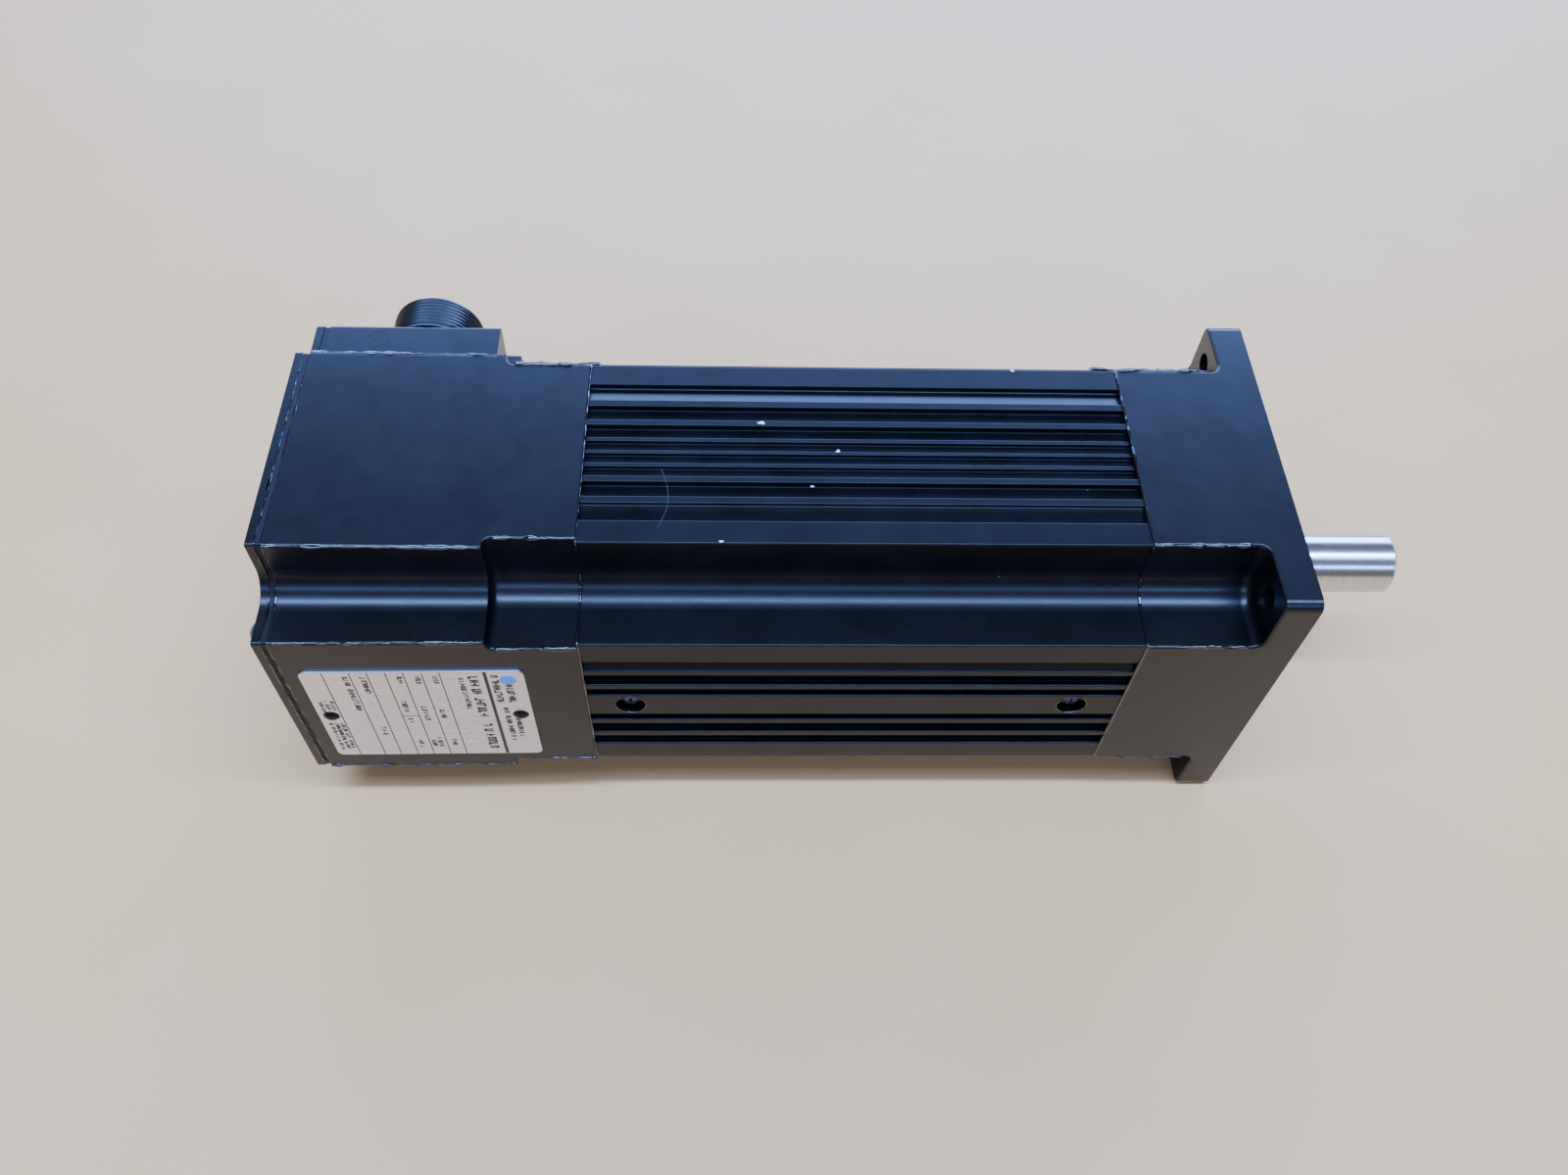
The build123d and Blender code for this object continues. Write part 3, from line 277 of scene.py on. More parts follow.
FINISHES = {
    # sprayed castings: an even blue-black sheen with a few pale nibs of dust
    "paint_black": cast_enamel(),
    # the finned tube: satin lands with dull, gritty grooves between them
    "extrusion": extrusion_enamel(),
    # thick paint at edges and joints: thin bright glints along black beads
    "pooled": pooled_enamel(),
    # rubbery gasket edge under a thin coat of the same paint: duller, so the joint reads as a dark band
    "gasket_painted": grained(
        "overpainted_gasket", "#141318", "#08080a", 1.2, EVEN, (0.42, 0.6), 0.03,
        IOR=1.5, Specular_IOR_Level=0.2),
    # blackened pan-head screw, its colour painted a lighter grey than blackened steel so that the heads show
    # in their shaded recesses (painted light); dull metal that still catches a light on its dome
    "screw_painted_lighter": grained(
        "blackened_screw_steel_painted_lighter", "#5a5d66", "#34363d", 0.8, EVEN, (0.26, 0.38), 0.004, Metallic=0.4),
    # a stray fibre, thin enough to look grey
    "fibre": grained("stray_fibre", "#8d9096", "#74777d", 0.3, EVEN, (0.6, 0.75), 0.01, IOR=1.5),
    # satin anodised aluminium sheet, brushed along its length: soft pale sheen
    "plate_aluminium": grained(
        "satin_anodised_aluminium", "#e4e5ea", "#cfd1d8", 0.5, ALONG_X, (0.34, 0.46), 0.002, Metallic=1.0),
    # blackened drive rivet: dark metal with a sharp highlight
    "rivet_steel": grained(
        "blackened_rivet_steel", "#34363b", "#1d1f23", 0.8, EVEN, (0.22, 0.34), 0.004, Metallic=1.0),
    # cylindrically ground carbon steel: fine rings round the shaft that streak its reflections
    "ground_steel": grained(
        "ground_shaft_steel", "#d6d8da", "#b4b7bb", 0.35, AROUND_SHAFT, (0.16, 0.26), 0.0012, Metallic=1.0),
    # honed bearing steel: near-mirror rings and balls
    "bearing_steel": grained(
        "polished_bearing_steel", "#dcdde0", "#cfd0d4", 0.6, AROUND_SHAFT, (0.06, 0.12), 0.0005,
        Metallic=1.0),
    # moulded glass-filled nylon: tan and slightly mottled
    "cage_polymer": grained(
        "glass_filled_nylon", "#c8b07c", "#a68b57", 0.8, EVEN, (0.4, 0.55), 0.01, IOR=1.53),
    # phosphated spring steel: dark grey with a soft bloom
    "spring_steel": grained(
        "phosphated_spring_steel", "#5c5e62", "#3c3d42", 0.5, EVEN, (0.35, 0.5), 0.006, Metallic=1.0),
    # stacked electrical steel: hundreds of thin edges, drawn coarser than real so that they show
    "lamination_steel": grained(
        "stacked_electrical_steel", "#8f939a", "#4d5158", 0.5, AROUND_SHAFT, (0.3, 0.5), 0.02,
        Metallic=1.0),
    # nickel-plated magnet: warm silver
    "magnet_nickel": grained(
        "nickel_plated_magnet", "#d2cdc2", "#b8b3a8", 1.0, EVEN, (0.15, 0.25), 0.002, Metallic=1.0),
    # glass-fibre banding set in resin: dark, wound round and round
    "sleeve_composite": grained(
        "glass_fibre_banding", "#3a382c", "#1c1b17", 0.4, AROUND_SHAFT, (0.2, 0.4), 0.02, IOR=1.54),
    # turned brass: warm yellow with fine tool rings
    "balance_brass": grained(
        "turned_brass", "#d9b66a", "#bd9549", 0.4, AROUND_SHAFT, (0.2, 0.32), 0.003, Metallic=1.0),
    # varnished magnet wire: glossy red-brown strands lying along the slots
    "winding_copper": grained(
        "varnished_magnet_wire", "#b5602f", "#7b3416", 0.9, ALONG_X, (0.2, 0.36), 0.08, Metallic=1.0),
    # slot insulation paper: matte cream
    "wedge_paper": grained(
        "slot_insulation_paper", "#e6dcb8", "#cdbf93", 0.6, EVEN, (0.6, 0.8), 0.01, IOR=1.45),
    # moulded nitrile: matte black
    "seal_rubber": grained("nitrile_rubber", "#1d1e20", "#101113", 0.7, EVEN, (0.45, 0.62), 0.01, IOR=1.52),
    # black anodised and dyed shell: finer and a little glossier than the enamel
    "shell_black": grained(
        "black_anodised_shell", "#16171b", "#0b0c0f", 0.7, EVEN, (0.26, 0.36), 0.004, IOR=1.6),
    # moulded neoprene insert: dull charcoal
    "insert_neoprene": grained(
        "moulded_neoprene_insert", "#26282b", "#191a1d", 0.9, EVEN, (0.5, 0.65), 0.01, IOR=1.52),
    # gold-plated contact: small warm glints in a dark insert
    "pin_gold": grained(
        "gold_plated_contact", "#f2cf7e", "#dfb45a", 0.5, EVEN, (0.12, 0.2), 0.001, Metallic=1.0),
    # braided sleeve over the leads: matte and coarse
    "lead_sleeve": grained("braided_lead_sleeve", "#3a3a3c", "#1b1b1d", 0.7, EVEN, (0.5, 0.7), 0.05, IOR=1.5),
    # printing inks, flatter than the sheet they lie on
    "ink": grained("black_plate_ink", "#1b1b1e", "#101013", 0.5, EVEN, (0.4, 0.55), 0.002, IOR=1.5),
    "blue_ink": grained("blue_plate_ink", "#4aa3ea", "#3a8fd8", 0.8, EVEN, (0.35, 0.5), 0.002, IOR=1.5),
    # bare metal in a stamped mark: brighter than the anodised face round it
    "stamped": grained(
        "stamped_bright_metal", "#f2f4f8", "#b9bcc4", 0.3, EVEN, (0.15, 0.3), 0.01, Metallic=1.0),
    # dry flake of paint or dust: a chalky white crumb on the black
    "lint": grained("dry_paint_flake", "#f0f1ee", "#d5d7d4", 0.3, EVEN, (0.7, 0.85), 0.02, IOR=1.5),
}
OWN_FINISH = {
    "stator_housing": "extrusion", "housing_screws": "screw_painted_lighter", "rear_cover_screws": "screw_painted_lighter",
}
for part in frame["record"]["subparts"]:
    key = OWN_FINISH.get(part["node"], part["material_slot"])
    data = frame["nodes"][part["node"]].data
    data.materials.clear()
    data.materials.append(FINISHES[key])


# =================================================================================================
# Mesh helpers. A shape is its points and a list of face arrays, one array for each corner count.
# =================================================================================================
def grid_faces(rows, columns, wrap_rows):
    """Quads over a grid whose columns wrap round, and whose rows do too if wrap_rows."""
    last = rows if wrap_rows else rows - 1
    i, j = (grid.ravel() for grid in np.meshgrid(np.arange(last), np.arange(columns), indexing="ij"))
    i_next, j_next = (i + 1) % rows, (j + 1) % columns
    corners = [i * columns + j, i * columns + j_next, i_next * columns + j_next, i_next * columns + j]
    return np.stack(corners, 1)


def end_fans(rows, columns):
    """Triangles from two extra points, placed after the grid's own, that close its first and last row."""
    side = np.arange(columns)
    turn = (side + 1) % columns
    tail = (rows - 1) * columns
    first = np.stack([np.full(columns, rows * columns), turn, side], 1)
    last = np.stack([np.full(columns, rows * columns + 1), tail + side, tail + turn], 1)
    return np.vstack([first, last])


def sweep(centre, reference, radius, sides=8, closed=False):
    """A tube: P(s, a) = C(s) + r(s, a) (N(s) cos a + B(s) sin a), N being the reference made square
    to the path and B = T x N. A closed path wraps round; an open one ends in a point at each end."""
    centre = np.asarray(centre, float)
    if closed:
        along = np.roll(centre, -1, 0) - np.roll(centre, 1, 0)
    else:
        along = np.gradient(centre, axis=0)
    tangent = along / np.linalg.norm(along, axis=1)[:, None]
    reference = np.broadcast_to(np.asarray(reference, float), centre.shape)
    normal = reference - (reference * tangent).sum(1)[:, None] * tangent
    normal /= np.linalg.norm(normal, axis=1)[:, None]
    binormal = np.cross(tangent, normal)
    angle = np.arange(sides) * 2 * math.pi / sides
    cosine, sine = np.cos(angle)[None, :, None], np.sin(angle)[None, :, None]
    spoke = normal[:, None] * cosine + binormal[:, None] * sine
    radius = np.broadcast_to(np.asarray(radius, float), (len(centre), sides))
    points = (centre[:, None] + radius[..., None] * spoke).reshape(-1, 3)
    quads = grid_faces(len(centre), sides, closed)
    if closed:
        return points, [quads]
    reach = 0.6 * radius.mean(1)
    ends = [centre[0] - tangent[0] * reach[0], centre[-1] + tangent[-1] * reach[-1]]
    return np.vstack([points, ends]), [quads, end_fans(len(centre), sides)]


def joined(shapes):
    """Several shapes as one."""
    starts = np.cumsum([0] + [len(points) for points, _ in shapes])
    faces = [block + start for (_, blocks), start in zip(shapes, starts) for block in blocks]
    return np.vstack([points for points, _ in shapes]), faces


def piece(name, shape, finish, body="motor_body", smooth=True):
    """A named object from a shape, with its finish, riding on a body."""
    points, blocks = shape
    data = bpy.data.meshes.new(name)
    data.from_pydata(points.tolist(), [], sum((block.tolist() for block in blocks), []))
    data.polygons.foreach_set("use_smooth", [smooth] * len(data.polygons))
    data.materials.append(FINISHES[finish])
    data.update()
    thing = bpy.data.objects.new(name, data)
    bpy.context.scene.collection.objects.link(thing)
    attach(thing, body)
    return thing


def evenly(path, step, closed=False):
    """The same path with points evenly spaced about step apart."""
    path = np.asarray(path, float)
    if closed:
        path = np.vstack([path, path[:1]])
    reach = np.concatenate([[0], np.cumsum(np.linalg.norm(np.diff(path, axis=0), axis=1))])
    count = max(4, int(round(reach[-1] / step)))
    stations = np.linspace(0, reach[-1], count, endpoint=not closed)
    return np.stack([np.interp(stations, reach, path[:, axis]) for axis in range(3)], 1)


def circle(steps):
    """Angles of a full turn, without the last, which is the first again."""
    return np.arange(steps) * 2 * math.pi / steps


def rounded_loop(corners, radii, steps=7):
    """A closed outline in a plane: straight runs between square corners, each turned on its own arc
    about the point one radius in from both of its runs."""
    corners = np.asarray(corners, float)
    points = []
    neighbours = zip(corners, np.roll(corners, 1, 0), np.roll(corners, -1, 0), radii)
    for corner, before, after, radius in neighbours:
        back = (before - corner) / np.linalg.norm(before - corner)
        ahead = (after - corner) / np.linalg.norm(after - corner)
        middle = corner + (back + ahead) * radius
        turn = np.linspace(0, math.pi / 2, steps)[:, None]
        points.append(middle - ahead * radius * np.cos(turn) - back * radius * np.sin(turn))
    return np.vstack(points)


def notched_loop(side, top, bottom, wall, edge_r):
    """The square outline with a notch out of each corner, as (y, z) points."""
    high = [(side, wall), (wall, wall), (wall, top)]
    low = [(side, wall), (wall, wall), (wall, bottom)]
    corners = high + [(-y, z) for y, z in high[::-1]]
    corners += [(-y, -z) for y, z in low] + [(y, -z) for y, z in low[::-1]]
    return rounded_loop(corners, [edge_r, NOTCH_R, edge_r] * 4)


def at_station(loop, x):
    """A (y, z) outline as 3-D points at one x."""
    return np.column_stack([np.full(len(loop), x), loop])


def unevenness(shape, reach, seed):
    """Seeded smooth noise about 0, with a deviation of 1: random numbers blurred over reach points."""
    numbers = np.random.default_rng(seed).normal(size=shape)
    weights = np.exp(-0.5 * (np.arange(-3 * reach, 3 * reach + 1) / reach) ** 2)
    blurred = np.apply_along_axis(lambda row: np.convolve(row, weights, "same"), 0, numbers)
    return blurred / blurred.std()


BEAD_STEP = mm(0.45)
BEAD_SIDES = 8
ACROSS_X = (1.0, 0.0, 0.0)
ACROSS_Y = (0.0, 1.0, 0.0)
UP = (0.0, 0.0, 1.0)


def paint_bead(path, radius, rough, seed, reference=None, closed=False):
    """A run of pooled paint: a tube whose radius wanders by rough, flattened where it would stand
    past the motor's own box. With no reference it is measured outwards from the shaft axis."""
    path = evenly(path, BEAD_STEP, closed)
    wander = unevenness((len(path), 1), 3, seed)
    ripple = unevenness((len(path), BEAD_SIDES), 1, seed + 1)
    scale = np.clip(1 + rough * (wander + 0.5 * ripple), 0.35, 2.2)
    outward = path * (0.0, 1.0, 1.0) if reference is None else reference
    points, faces = sweep(path, outward, radius * scale, BEAD_SIDES, closed)
    return np.clip(points, cad_low, cad_high), faces


# =================================================================================================
# Paint seams and beads
# =================================================================================================
COVER_INSET = mm(0.3)
COVER_BEAD_R = mm(0.3)
COVER_ROUGH = 0.35
RIM_SINK = mm(0.12)
RIM_BEAD_R = mm(0.24)
RIM_ROUGH = 0.25


def seams():
    """Ridges of paint where the castings meet the tube, and the two dark joints at the rear cover."""
    tube_loop = notched_loop(TUBE_HALF, TUBE_HALF, TUBE_HALF, TUBE_WALL, TUBE_EDGE_R)
    for name, x, radius, rough, seed in (
        ("front_seam_paint", FRONT_SEAM_X - mm(0.1), mm(0.42), 0.14, 11),
        ("rear_seam_paint", REAR_SEAM_X + mm(0.15), mm(0.45), 0.16, 21),
    ):
        ridge = paint_bead(at_station(tube_loop, x), radius, rough, seed, ACROSS_X, True)
        piece(name, ridge, "pooled")
    half = REAR_HALF_BACK - COVER_INSET
    cover_loop = notched_loop(half, half, FLANGE_HALF - COVER_INSET, REAR_WALL - COVER_INSET, COVER_EDGE_R)
    layers = [
        paint_bead(at_station(cover_loop, x), COVER_BEAD_R, COVER_ROUGH, seed, ACROSS_X, True)
        for x, seed in ((CAST_REAR_X, 31), (GASKET_REAR_X, 41))
    ]
    piece("cover_seam_paint", joined(layers), "pooled")


def screw_rims():
    """A ring of paint round the mouth of each screw recess in the tube's sides."""
    angle = circle(60)
    rims = []
    for x, seed in zip(SCREW_XS, (51, 61)):
        for side in (-1, 1):
            y = np.full(len(angle), side * (TUBE_HALF - RIM_SINK))
            path = np.column_stack([x + RECESS_R * np.cos(angle), y, RECESS_R * np.sin(angle)])
            rims.append(paint_bead(path, RIM_BEAD_R, RIM_ROUGH, seed, ACROSS_Y, True))
    piece("screw_recess_paint", joined(rims), "pooled")


def rear_half(x):
    """Half the rear casting's width at x: it grows from the tube to the cover."""
    share = (REAR_SEAM_X - x) / (REAR_SEAM_X - CAST_REAR_X)
    return REAR_HALF_FRONT + (REAR_HALF_BACK - REAR_HALF_FRONT) * share


EDGE_BEAD_R = mm(0.42)
EDGE_ROUGH = 0.5
EDGE_SINK = mm(0.34)
# how far the beads stop short of the flange, and behind and ahead of the step
SHORT_OF_FLANGE = mm(4.0)
BEHIND_STEP = mm(0.6)
AHEAD_OF_STEP = mm(2.6)


def front_edge(side_y, side_z, on_side_face):
    """Both ends of the edge of one corner pocket that lies on the top, bottom or a side face."""
    wall = FRONT_WALL + EDGE_SINK * 0.5
    half = FLANGE_HALF - EDGE_SINK * 0.5
    y, z = (half, wall) if on_side_face else (wall, half)
    y, z = side_y * (y - EDGE_SINK * 0.3), side_z * (z - EDGE_SINK * 0.3)
    return [[FRONT_SEAM_X, y, z], [FLANGE_BACK_X - SHORT_OF_FLANGE, y, z]]


def rear_edge(side_y, side_z, on_side_face, x_from, x_to, wall):
    """Both ends of one edge of the rear casting's notch, which spreads with the casting."""
    ends = []
    for x in (x_from, x_to):
        half = rear_half(x) if (on_side_face or side_z > 0) else FLANGE_HALF
        half -= EDGE_SINK * 0.6
        y, z = (half, wall) if on_side_face else (wall, half)
        ends.append([x, side_y * y, side_z * z])
    return ends


def edge_beads():
    """Broken beads of paint along the notch edges of both castings, where it ran to the corner."""
    stretches = (
        (CAST_REAR_X, STEP_X - BEHIND_STEP, REAR_WALL, 1),
        (STEP_X + AHEAD_OF_STEP, REAR_SEAM_X, STEP_WALL, 2),
    )
    front, rear = [], []
    for index, (side_y, side_z) in enumerate(((1, 1), (-1, 1), (-1, -1), (1, -1))):
        for on_side_face in (0, 1):
            seed = 100 + 10 * index + 5 * on_side_face
            edge = front_edge(side_y, side_z, on_side_face)
            front.append(paint_bead(edge, EDGE_BEAD_R, EDGE_ROUGH, seed))
            for x_from, x_to, wall, tag in stretches:
                # the connector pad covers this one
                if on_side_face and side_y > 0 and side_z > 0 and tag == 1:
                    continue
                edge = rear_edge(side_y, side_z, on_side_face, x_from, x_to, wall)
                rear.append(paint_bead(edge, EDGE_BEAD_R, EDGE_ROUGH, seed + tag))
    piece("front_edge_paint", joined(front), "pooled")
    piece("rear_edge_paint", joined(rear), "pooled")


seams()
screw_rims()
edge_beads()


# =================================================================================================
# Name plate printing: rules, blocks standing for lettering, stamped dots and a plain blue disc.
# Places on the plate are in millimetres from its rear edge, up from its lower edge, off its face.
# =================================================================================================
PLATE_LONG = mm(62.3)
PLATE_TALL = mm(48.8)
PLATE_THICK = mm(0.5)
PLATE_MID = Vector(((plate_low.x + plate_high.x) / 2, 0.0, (plate_low.z + plate_high.z) / 2))
INK_THICK_MM = 0.03
DISC_THICK_MM = 0.035
BLOCK_CORNERS = np.array([[x, y, z] for x in (-0.5, 0.5) for y in (-0.5, 0.5) for z in (0.0, 1.0)])
BLOCK_FACES = np.array([[0, 1, 3, 2], [4, 6, 7, 5], [0, 4, 5, 1], [2, 3, 7, 6], [0, 2, 6, 4], [1, 5, 7, 3]])


def on_plate(points):
    """Places on the plate as 3-D points on the rear casting's sloping side."""
    slope = (REAR_HALF_BACK - REAR_HALF_FRONT) / (REAR_SEAM_X - CAST_REAR_X)
    x = PLATE_MID.x + mm(points[:, 0]) - PLATE_LONG / 2
    y = -rear_half(PLATE_MID.x) + (x - PLATE_MID.x) * slope - PLATE_THICK - mm(points[:, 2])
    z = PLATE_MID.z + mm(points[:, 1]) - PLATE_TALL / 2
    return np.column_stack([x, y, z])


def ink_blocks(blocks):
    """Thin slabs of ink on the plate, each (x, z, width along X, height along Z): the box from
    x - width / 2 to x + width / 2, z - height / 2 to z + height / 2, 0 to the ink's thickness."""
    blocks = np.asarray(blocks, float)
    sizes = np.column_stack([blocks[:, 2:], np.full(len(blocks), INK_THICK_MM)])
    corners = BLOCK_CORNERS[None] * sizes[:, None]
    corners[..., :2] += blocks[:, None, :2]
    faces = BLOCK_FACES[None] + len(BLOCK_CORNERS) * np.arange(len(blocks))[:, None, None]
    return on_plate(corners.reshape(-1, 3)), [faces.reshape(-1, 4)]


# sizes of the strokes, as shares of the letter height
STROKE = 0.62
LETTER_SPAN = (0.42, 0.56)
LETTER_GAP = 0.22
WORD_GAP = 0.55
WORD_GAP_CHANCE = 0.14


def lettering(x, z_from, z_to, size, seed):
    """A row of small upright strokes and bars, read down the plate, that stands for printed words."""
    rng = np.random.default_rng(seed)
    thick = STROKE * size
    blocks, z = [], z_from
    while z - size * 0.6 > z_to:
        if rng.random() < WORD_GAP_CHANCE:
            z -= size * WORD_GAP
            continue
        height = size * rng.uniform(*LETTER_SPAN)
        kind = rng.integers(3)
        if kind != 1:
            blocks.append((x, z - thick * 0.2, size, thick * 0.4))
        if kind != 0:
            blocks.append((x, z - height, size, thick * 0.4))
        bar = x + size * rng.choice([-0.42, 0.0, 0.42])
        blocks.append((bar, z - height / 2, thick * 0.5, height))
        z -= height + size * LETTER_GAP
    return blocks


RULE_XS = (6.6, 14.1, 19.0, 24.1, 29.0, 34.1, 39.0)
RULE_MID_Z = 24.4
RULE_LONG = 48.4
RULE_WIDE = 0.32
THICK_RULE = (51.5, RULE_MID_Z, 1.0, RULE_LONG)
SHORT_RULE = (26.6, 24.0, 4.9, RULE_WIDE)
# each row of strokes: x, from z, down to z, letter height; its seed is its place in this list
HEADINGS = [
    (48.0, 46.4, 22.0, 2.6), (48.0, 19.0, 3.0, 2.6), (44.5, 46.4, 28.0, 1.5), (53.9, 46.8, 31.0, 2.0),
    (57.5, 42.5, 31.0, 2.0), (54.8, 28.5, 8.0, 1.5), (57.6, 26.0, 10.5, 1.5),
]
LABELS = [
    (37.6, 46.5, 42.5, 1.4), (32.6, 46.5, 42.5, 1.4), (27.6, 46.5, 42.5, 1.4), (36.2, 28.5, 22.0, 1.5),
    (31.2, 29.5, 21.0, 1.5), (26.0, 32.5, 25.8, 1.5), (36.5, 9.5, 5.5, 1.4), (32.2, 10.5, 4.5, 1.4),
    (30.4, 9.0, 4.5, 1.2), (26.4, 9.0, 4.0, 1.4), (26.2, 22.6, 19.5, 1.4), (17.4, 46.5, 37.0, 1.5),
    (12.6, 46.5, 27.0, 1.5), (17.0, 17.5, 12.5, 1.5),
]
SMALL_PRINT = [
    (5.6, 33.0, 27.5, 1.1), (4.0, 33.0, 27.5, 1.1), (2.3, 32.5, 26.5, 1.1), (5.6, 20.0, 4.0, 1.1),
    (4.0, 20.0, 2.5, 1.1), (2.3, 20.0, 3.0, 1.1),
]


def plate_print():
    """Rules along Z, a thick rule beside the heading, and rows of generic strokes between them."""
    blocks = [(x, RULE_MID_Z, RULE_WIDE, RULE_LONG) for x in RULE_XS] + [THICK_RULE, SHORT_RULE]
    for seed, (x, z_from, z_to, size) in enumerate(HEADINGS + LABELS + SMALL_PRINT, start=1):
        blocks += lettering(x, z_from, z_to, size, seed)
    piece("plate_printing", ink_blocks(blocks), "ink", smooth=False)


def ink_disc(x, z, radius, steps=40):
    """A flat round patch of ink: (x + r cos a, z + r sin a) at two heights, with rim, face and back."""
    angle = circle(steps)
    outline = np.column_stack([x + radius * np.cos(angle), z + radius * np.sin(angle)])
    top = np.column_stack([outline, np.full(steps, DISC_THICK_MM)])
    bottom = np.column_stack([outline, np.zeros(steps)])
    around = np.arange(steps)
    turn = (around + 1) % steps
    rim = np.stack([around + steps, turn + steps, turn, around], 1)
    return on_plate(np.vstack([top, bottom])), [around[None, ::-1], around[None] + steps, rim]


plate_print()
piece("plate_blue_mark", ink_disc(57.6, 44.2, 2.4), "blue_ink", smooth=False)

# each band of dots: x, from z, down to z, width
STAMPED_BANDS = [
    (41.6, 45.5, 22.0, 1.6), (46.2, 20.5, 13.0, 1.6), (41.8, 18.5, 6.0, 1.6), (36.8, 40.5, 34.0, 1.5),
    (31.8, 40.5, 31.0, 1.5), (26.8, 40.0, 33.0, 1.5), (35.6, 18.5, 15.0, 1.4), (31.0, 19.5, 17.0, 1.4),
    (25.8, 18.0, 12.0, 1.4), (16.4, 36.0, 19.5, 1.6), (16.6, 11.0, 2.5, 1.6),
]
DOTS_PER_MM = 4.2
DOT_SIZE = 0.34
# offset and size of the dark block beside every third dot, which is painted shade in the crater
SHADE_SHIFT = (0.16, -0.1, 0.0, 0.0)
SHADE_SCALE = (1, 1, 0.6, 0.6)


def stamped_values():
    """Dot-peened values: small bright craters scattered in bands, with no character among them."""
    rng = np.random.default_rng(77)
    dots = []
    for x, z_from, z_to, width in STAMPED_BANDS:
        count = int((z_from - z_to) * DOTS_PER_MM)
        xs = x + rng.uniform(-0.5, 0.5, count) * width
        zs = rng.uniform(z_to, z_from, count)
        sizes = np.full((count, 2), DOT_SIZE) * rng.uniform(0.7, 1.2, (count, 1))
        dots.append(np.column_stack([xs, zs, sizes]))
    bright = np.vstack(dots)
    # a smaller dark ink block shifted off every third dot: painted shade on the crater wall, not printing
    shade = (bright + SHADE_SHIFT)[::3] * SHADE_SCALE
    piece("plate_stamping", ink_blocks(bright[::2]), "stamped", smooth=False)
    piece("plate_stamping_shade", ink_blocks(shade), "ink", smooth=False)


stamped_values()


# =================================================================================================
# Loose dust: paint flakes and one hair lying on the fins, and a mould mark on the connector pad
# =================================================================================================
FLAKE_ROWS = 7
FLAKE_COLUMNS = 10
FLAKE_FLAT = 0.35
HAIR_R = mm(0.02)
# x, y, z and length, in millimetres
FLAKES_MM = [
    (-150.1, 10.4, 53.2, 1.9), (-128.2, 0.6, 52.4, 1.3), (-136.1, -13.1, 53.2, 0.9),
    (-161.4, -32.4, 53.1, 1.1), (-74.1, 32.3, 53.2, 1.2),
]


def flake(x, y, z, size, seed):
    """A crumb: the sphere (sin t cos a, 0.7 sin t sin a, 0.35 cos t), dented by two random waves."""
    rng = np.random.default_rng(seed)
    tilt = np.linspace(0.25, math.pi - 0.25, FLAKE_ROWS)[:, None]
    turn = circle(FLAKE_COLUMNS)[None]
    thirds = 0.25 * np.sin(3 * turn + rng.uniform(0, 6)) * np.sin(tilt)
    waves = 1 + thirds + 0.2 * np.sin(2 * turn + rng.uniform(0, 6))
    long = np.sin(tilt) * np.cos(turn) * waves
    wide = 0.7 * np.sin(tilt) * np.sin(turn) * waves
    high = FLAKE_FLAT * np.cos(tilt) * np.ones_like(turn)
    centre = np.array([x, y, z])
    points = centre + size / 2 * np.stack([long, wide, high], 2).reshape(-1, 3)
    poles = centre + size / 2 * FLAKE_FLAT * np.array([UP, (0.0, 0.0, -1.0)])
    quads = grid_faces(FLAKE_ROWS, FLAKE_COLUMNS, False)[:, ::-1]
    return mm(np.vstack([points, poles])), [quads, end_fans(FLAKE_ROWS, FLAKE_COLUMNS)[:, ::-1]]


def hair():
    """One fine hair lying in a loose bow across the fins: a thin tube, in millimetres, along
    x = -178.5 + 3.4 sin(0.72 pi s) - 3 s^2, y = -7 - 21 s, z = 53.12 + 0.4 sin(3 pi s)^2."""
    share = np.linspace(0, 1, 60)
    x = -178.5 + 3.4 * np.sin(share * math.pi * 0.72) - 3.0 * share ** 2
    y = -7.0 - 21.0 * share
    z = 53.12 + 0.4 * np.sin(share * math.pi * 3) ** 2
    return sweep(mm(np.column_stack([x, y, z])), UP, HAIR_R, sides=5)


PAD_MARK_X = mm(-268.0)
PAD_MARK_Y = mm(51.6)
PAD_MARK_R = mm(3.15)
PAD_MARK_SINK = mm(0.06)
PAD_MARK_TUBE_R = mm(0.14)


def pad_ring():
    """The faint ring that an ejector pin left on the connector pad: a torus sunk in its top, a thin
    tube round the circle (X + R cos a, Y + R sin a)."""
    angle = circle(64)
    height = np.full(len(angle), PAD_TOP - PAD_MARK_SINK)
    x, y = PAD_MARK_X + PAD_MARK_R * np.cos(angle), PAD_MARK_Y + PAD_MARK_R * np.sin(angle)
    return sweep(np.column_stack([x, y, height]), UP, PAD_MARK_TUBE_R, sides=8, closed=True)


flakes = joined([flake(*spot, seed) for seed, spot in enumerate(FLAKES_MM)])
piece("dust_flakes", flakes, "lint")
piece("dust_hair", hair(), "fibre")
piece("pad_ejector_ring", pad_ring(), "paint_black")


# =================================================================================================
# Floor and lights
# =================================================================================================
FLOOR_REACH = 3.0


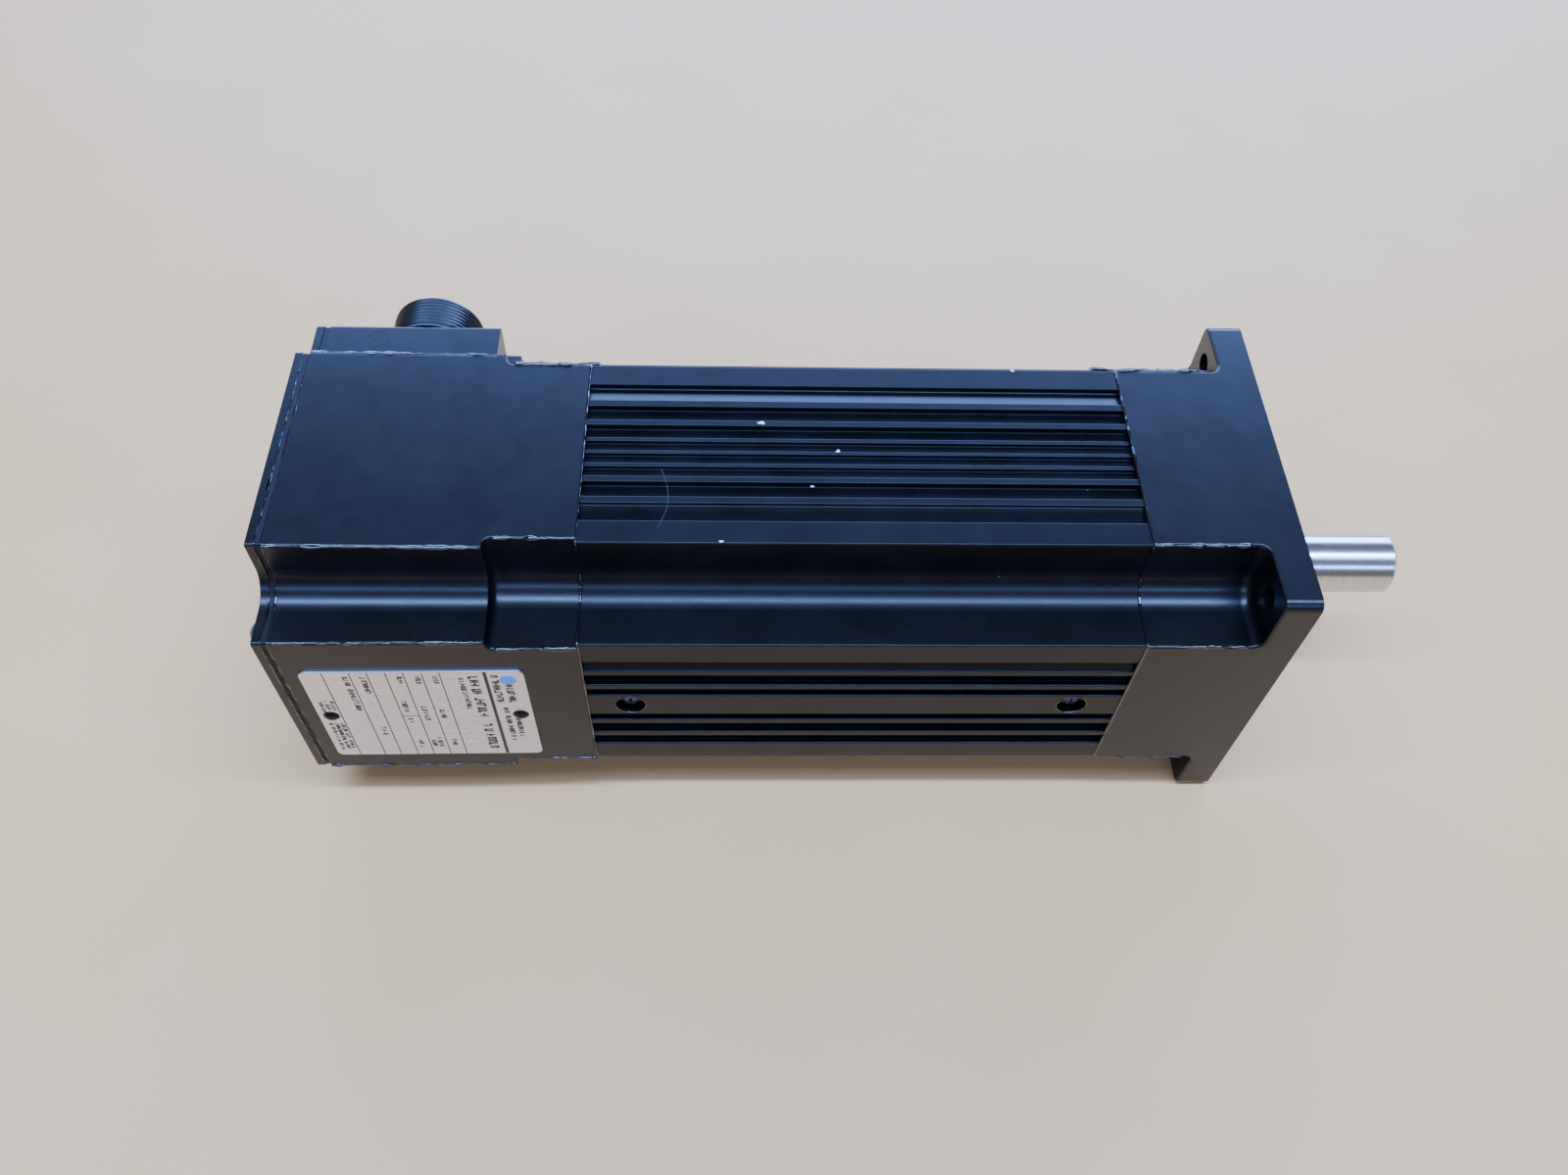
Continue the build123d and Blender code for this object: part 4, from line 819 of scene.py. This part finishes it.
def lay_floor():
    """A plain pale bench top, level with the underside of the motor."""
    corners = [(x * FLOOR_REACH, y * FLOOR_REACH, FLOOR_Z) for x, y in ((-1, -1), (1, -1), (1, 1), (-1, 1))]
    data = bpy.data.meshes.new("bench_top")
    data.from_pydata(corners, [], [(0, 1, 2, 3)])
    material, tree, shader, place = new_material("pale_bench_top", Roughness=0.55)
    drift = add_node(tree, "TexNoise", {"Scale": per_metre(60.0)}, {"Vector": place}).outputs[0]
    tones = {"data_type": "RGBA", 6: colour("#e8b06c"), 7: colour("#e0a864")}
    tree.links.new(add_node(tree, "Mix", tones, {0: drift}).outputs[2], shader.inputs["Base Color"])
    data.materials.append(material)
    floor = bpy.data.objects.new("bench_top", data)
    bpy.context.scene.collection.objects.link(floor)


LIT_POINT = Vector((mm(-125.0), 0.0, mm(20.0)))


def soft_light(name, zenith_deg, toward_x, distance, size_along, size_across, power, tint):
    """A rectangular lamp facing the motor: zenith_deg from straight up, positive towards -Y."""
    tilt = math.radians(zenith_deg)
    back = Vector((toward_x, -math.sin(tilt), math.cos(tilt))).normalized()
    data = bpy.data.lights.new(name, "AREA")
    data.shape = "RECTANGLE"
    data.size = size_along
    data.size_y = size_across
    data.energy = power
    data.color = colour(tint)[:3]
    light = bpy.data.objects.new(name, data)
    bpy.context.scene.collection.objects.link(light)
    up = back.cross(Vector((1.0, 0.0, 0.0))).normalized()
    right = up.cross(back)
    turn = Matrix((right, up, back)).transposed().to_4x4()
    light.matrix_world = Matrix.Translation(LIT_POINT + back * distance) @ turn


lay_floor()
soft_light("window_softbox", -66.0, 0.08, 1.8, 2.6, 0.9, 158.0, "#86aaff")
soft_light("ceiling_strip", 6.0, 0.0, 1.6, 2.4, 0.12, 96.0, "#93b5ff")
soft_light("ceiling_glow", 14.0, 0.0, 1.6, 2.4, 0.34, 30.0, "#86abff")
soft_light("room_strip", 55.0, 0.0, 1.6, 2.6, 0.14, 26.0, "#86abff")
world = bpy.data.worlds.new("studio")
bpy.context.scene.world = world
world.use_nodes = True
world.node_tree.nodes["Background"].inputs[0].default_value = colour("#fff0dc")
world.node_tree.nodes["Background"].inputs[1].default_value = 0.2
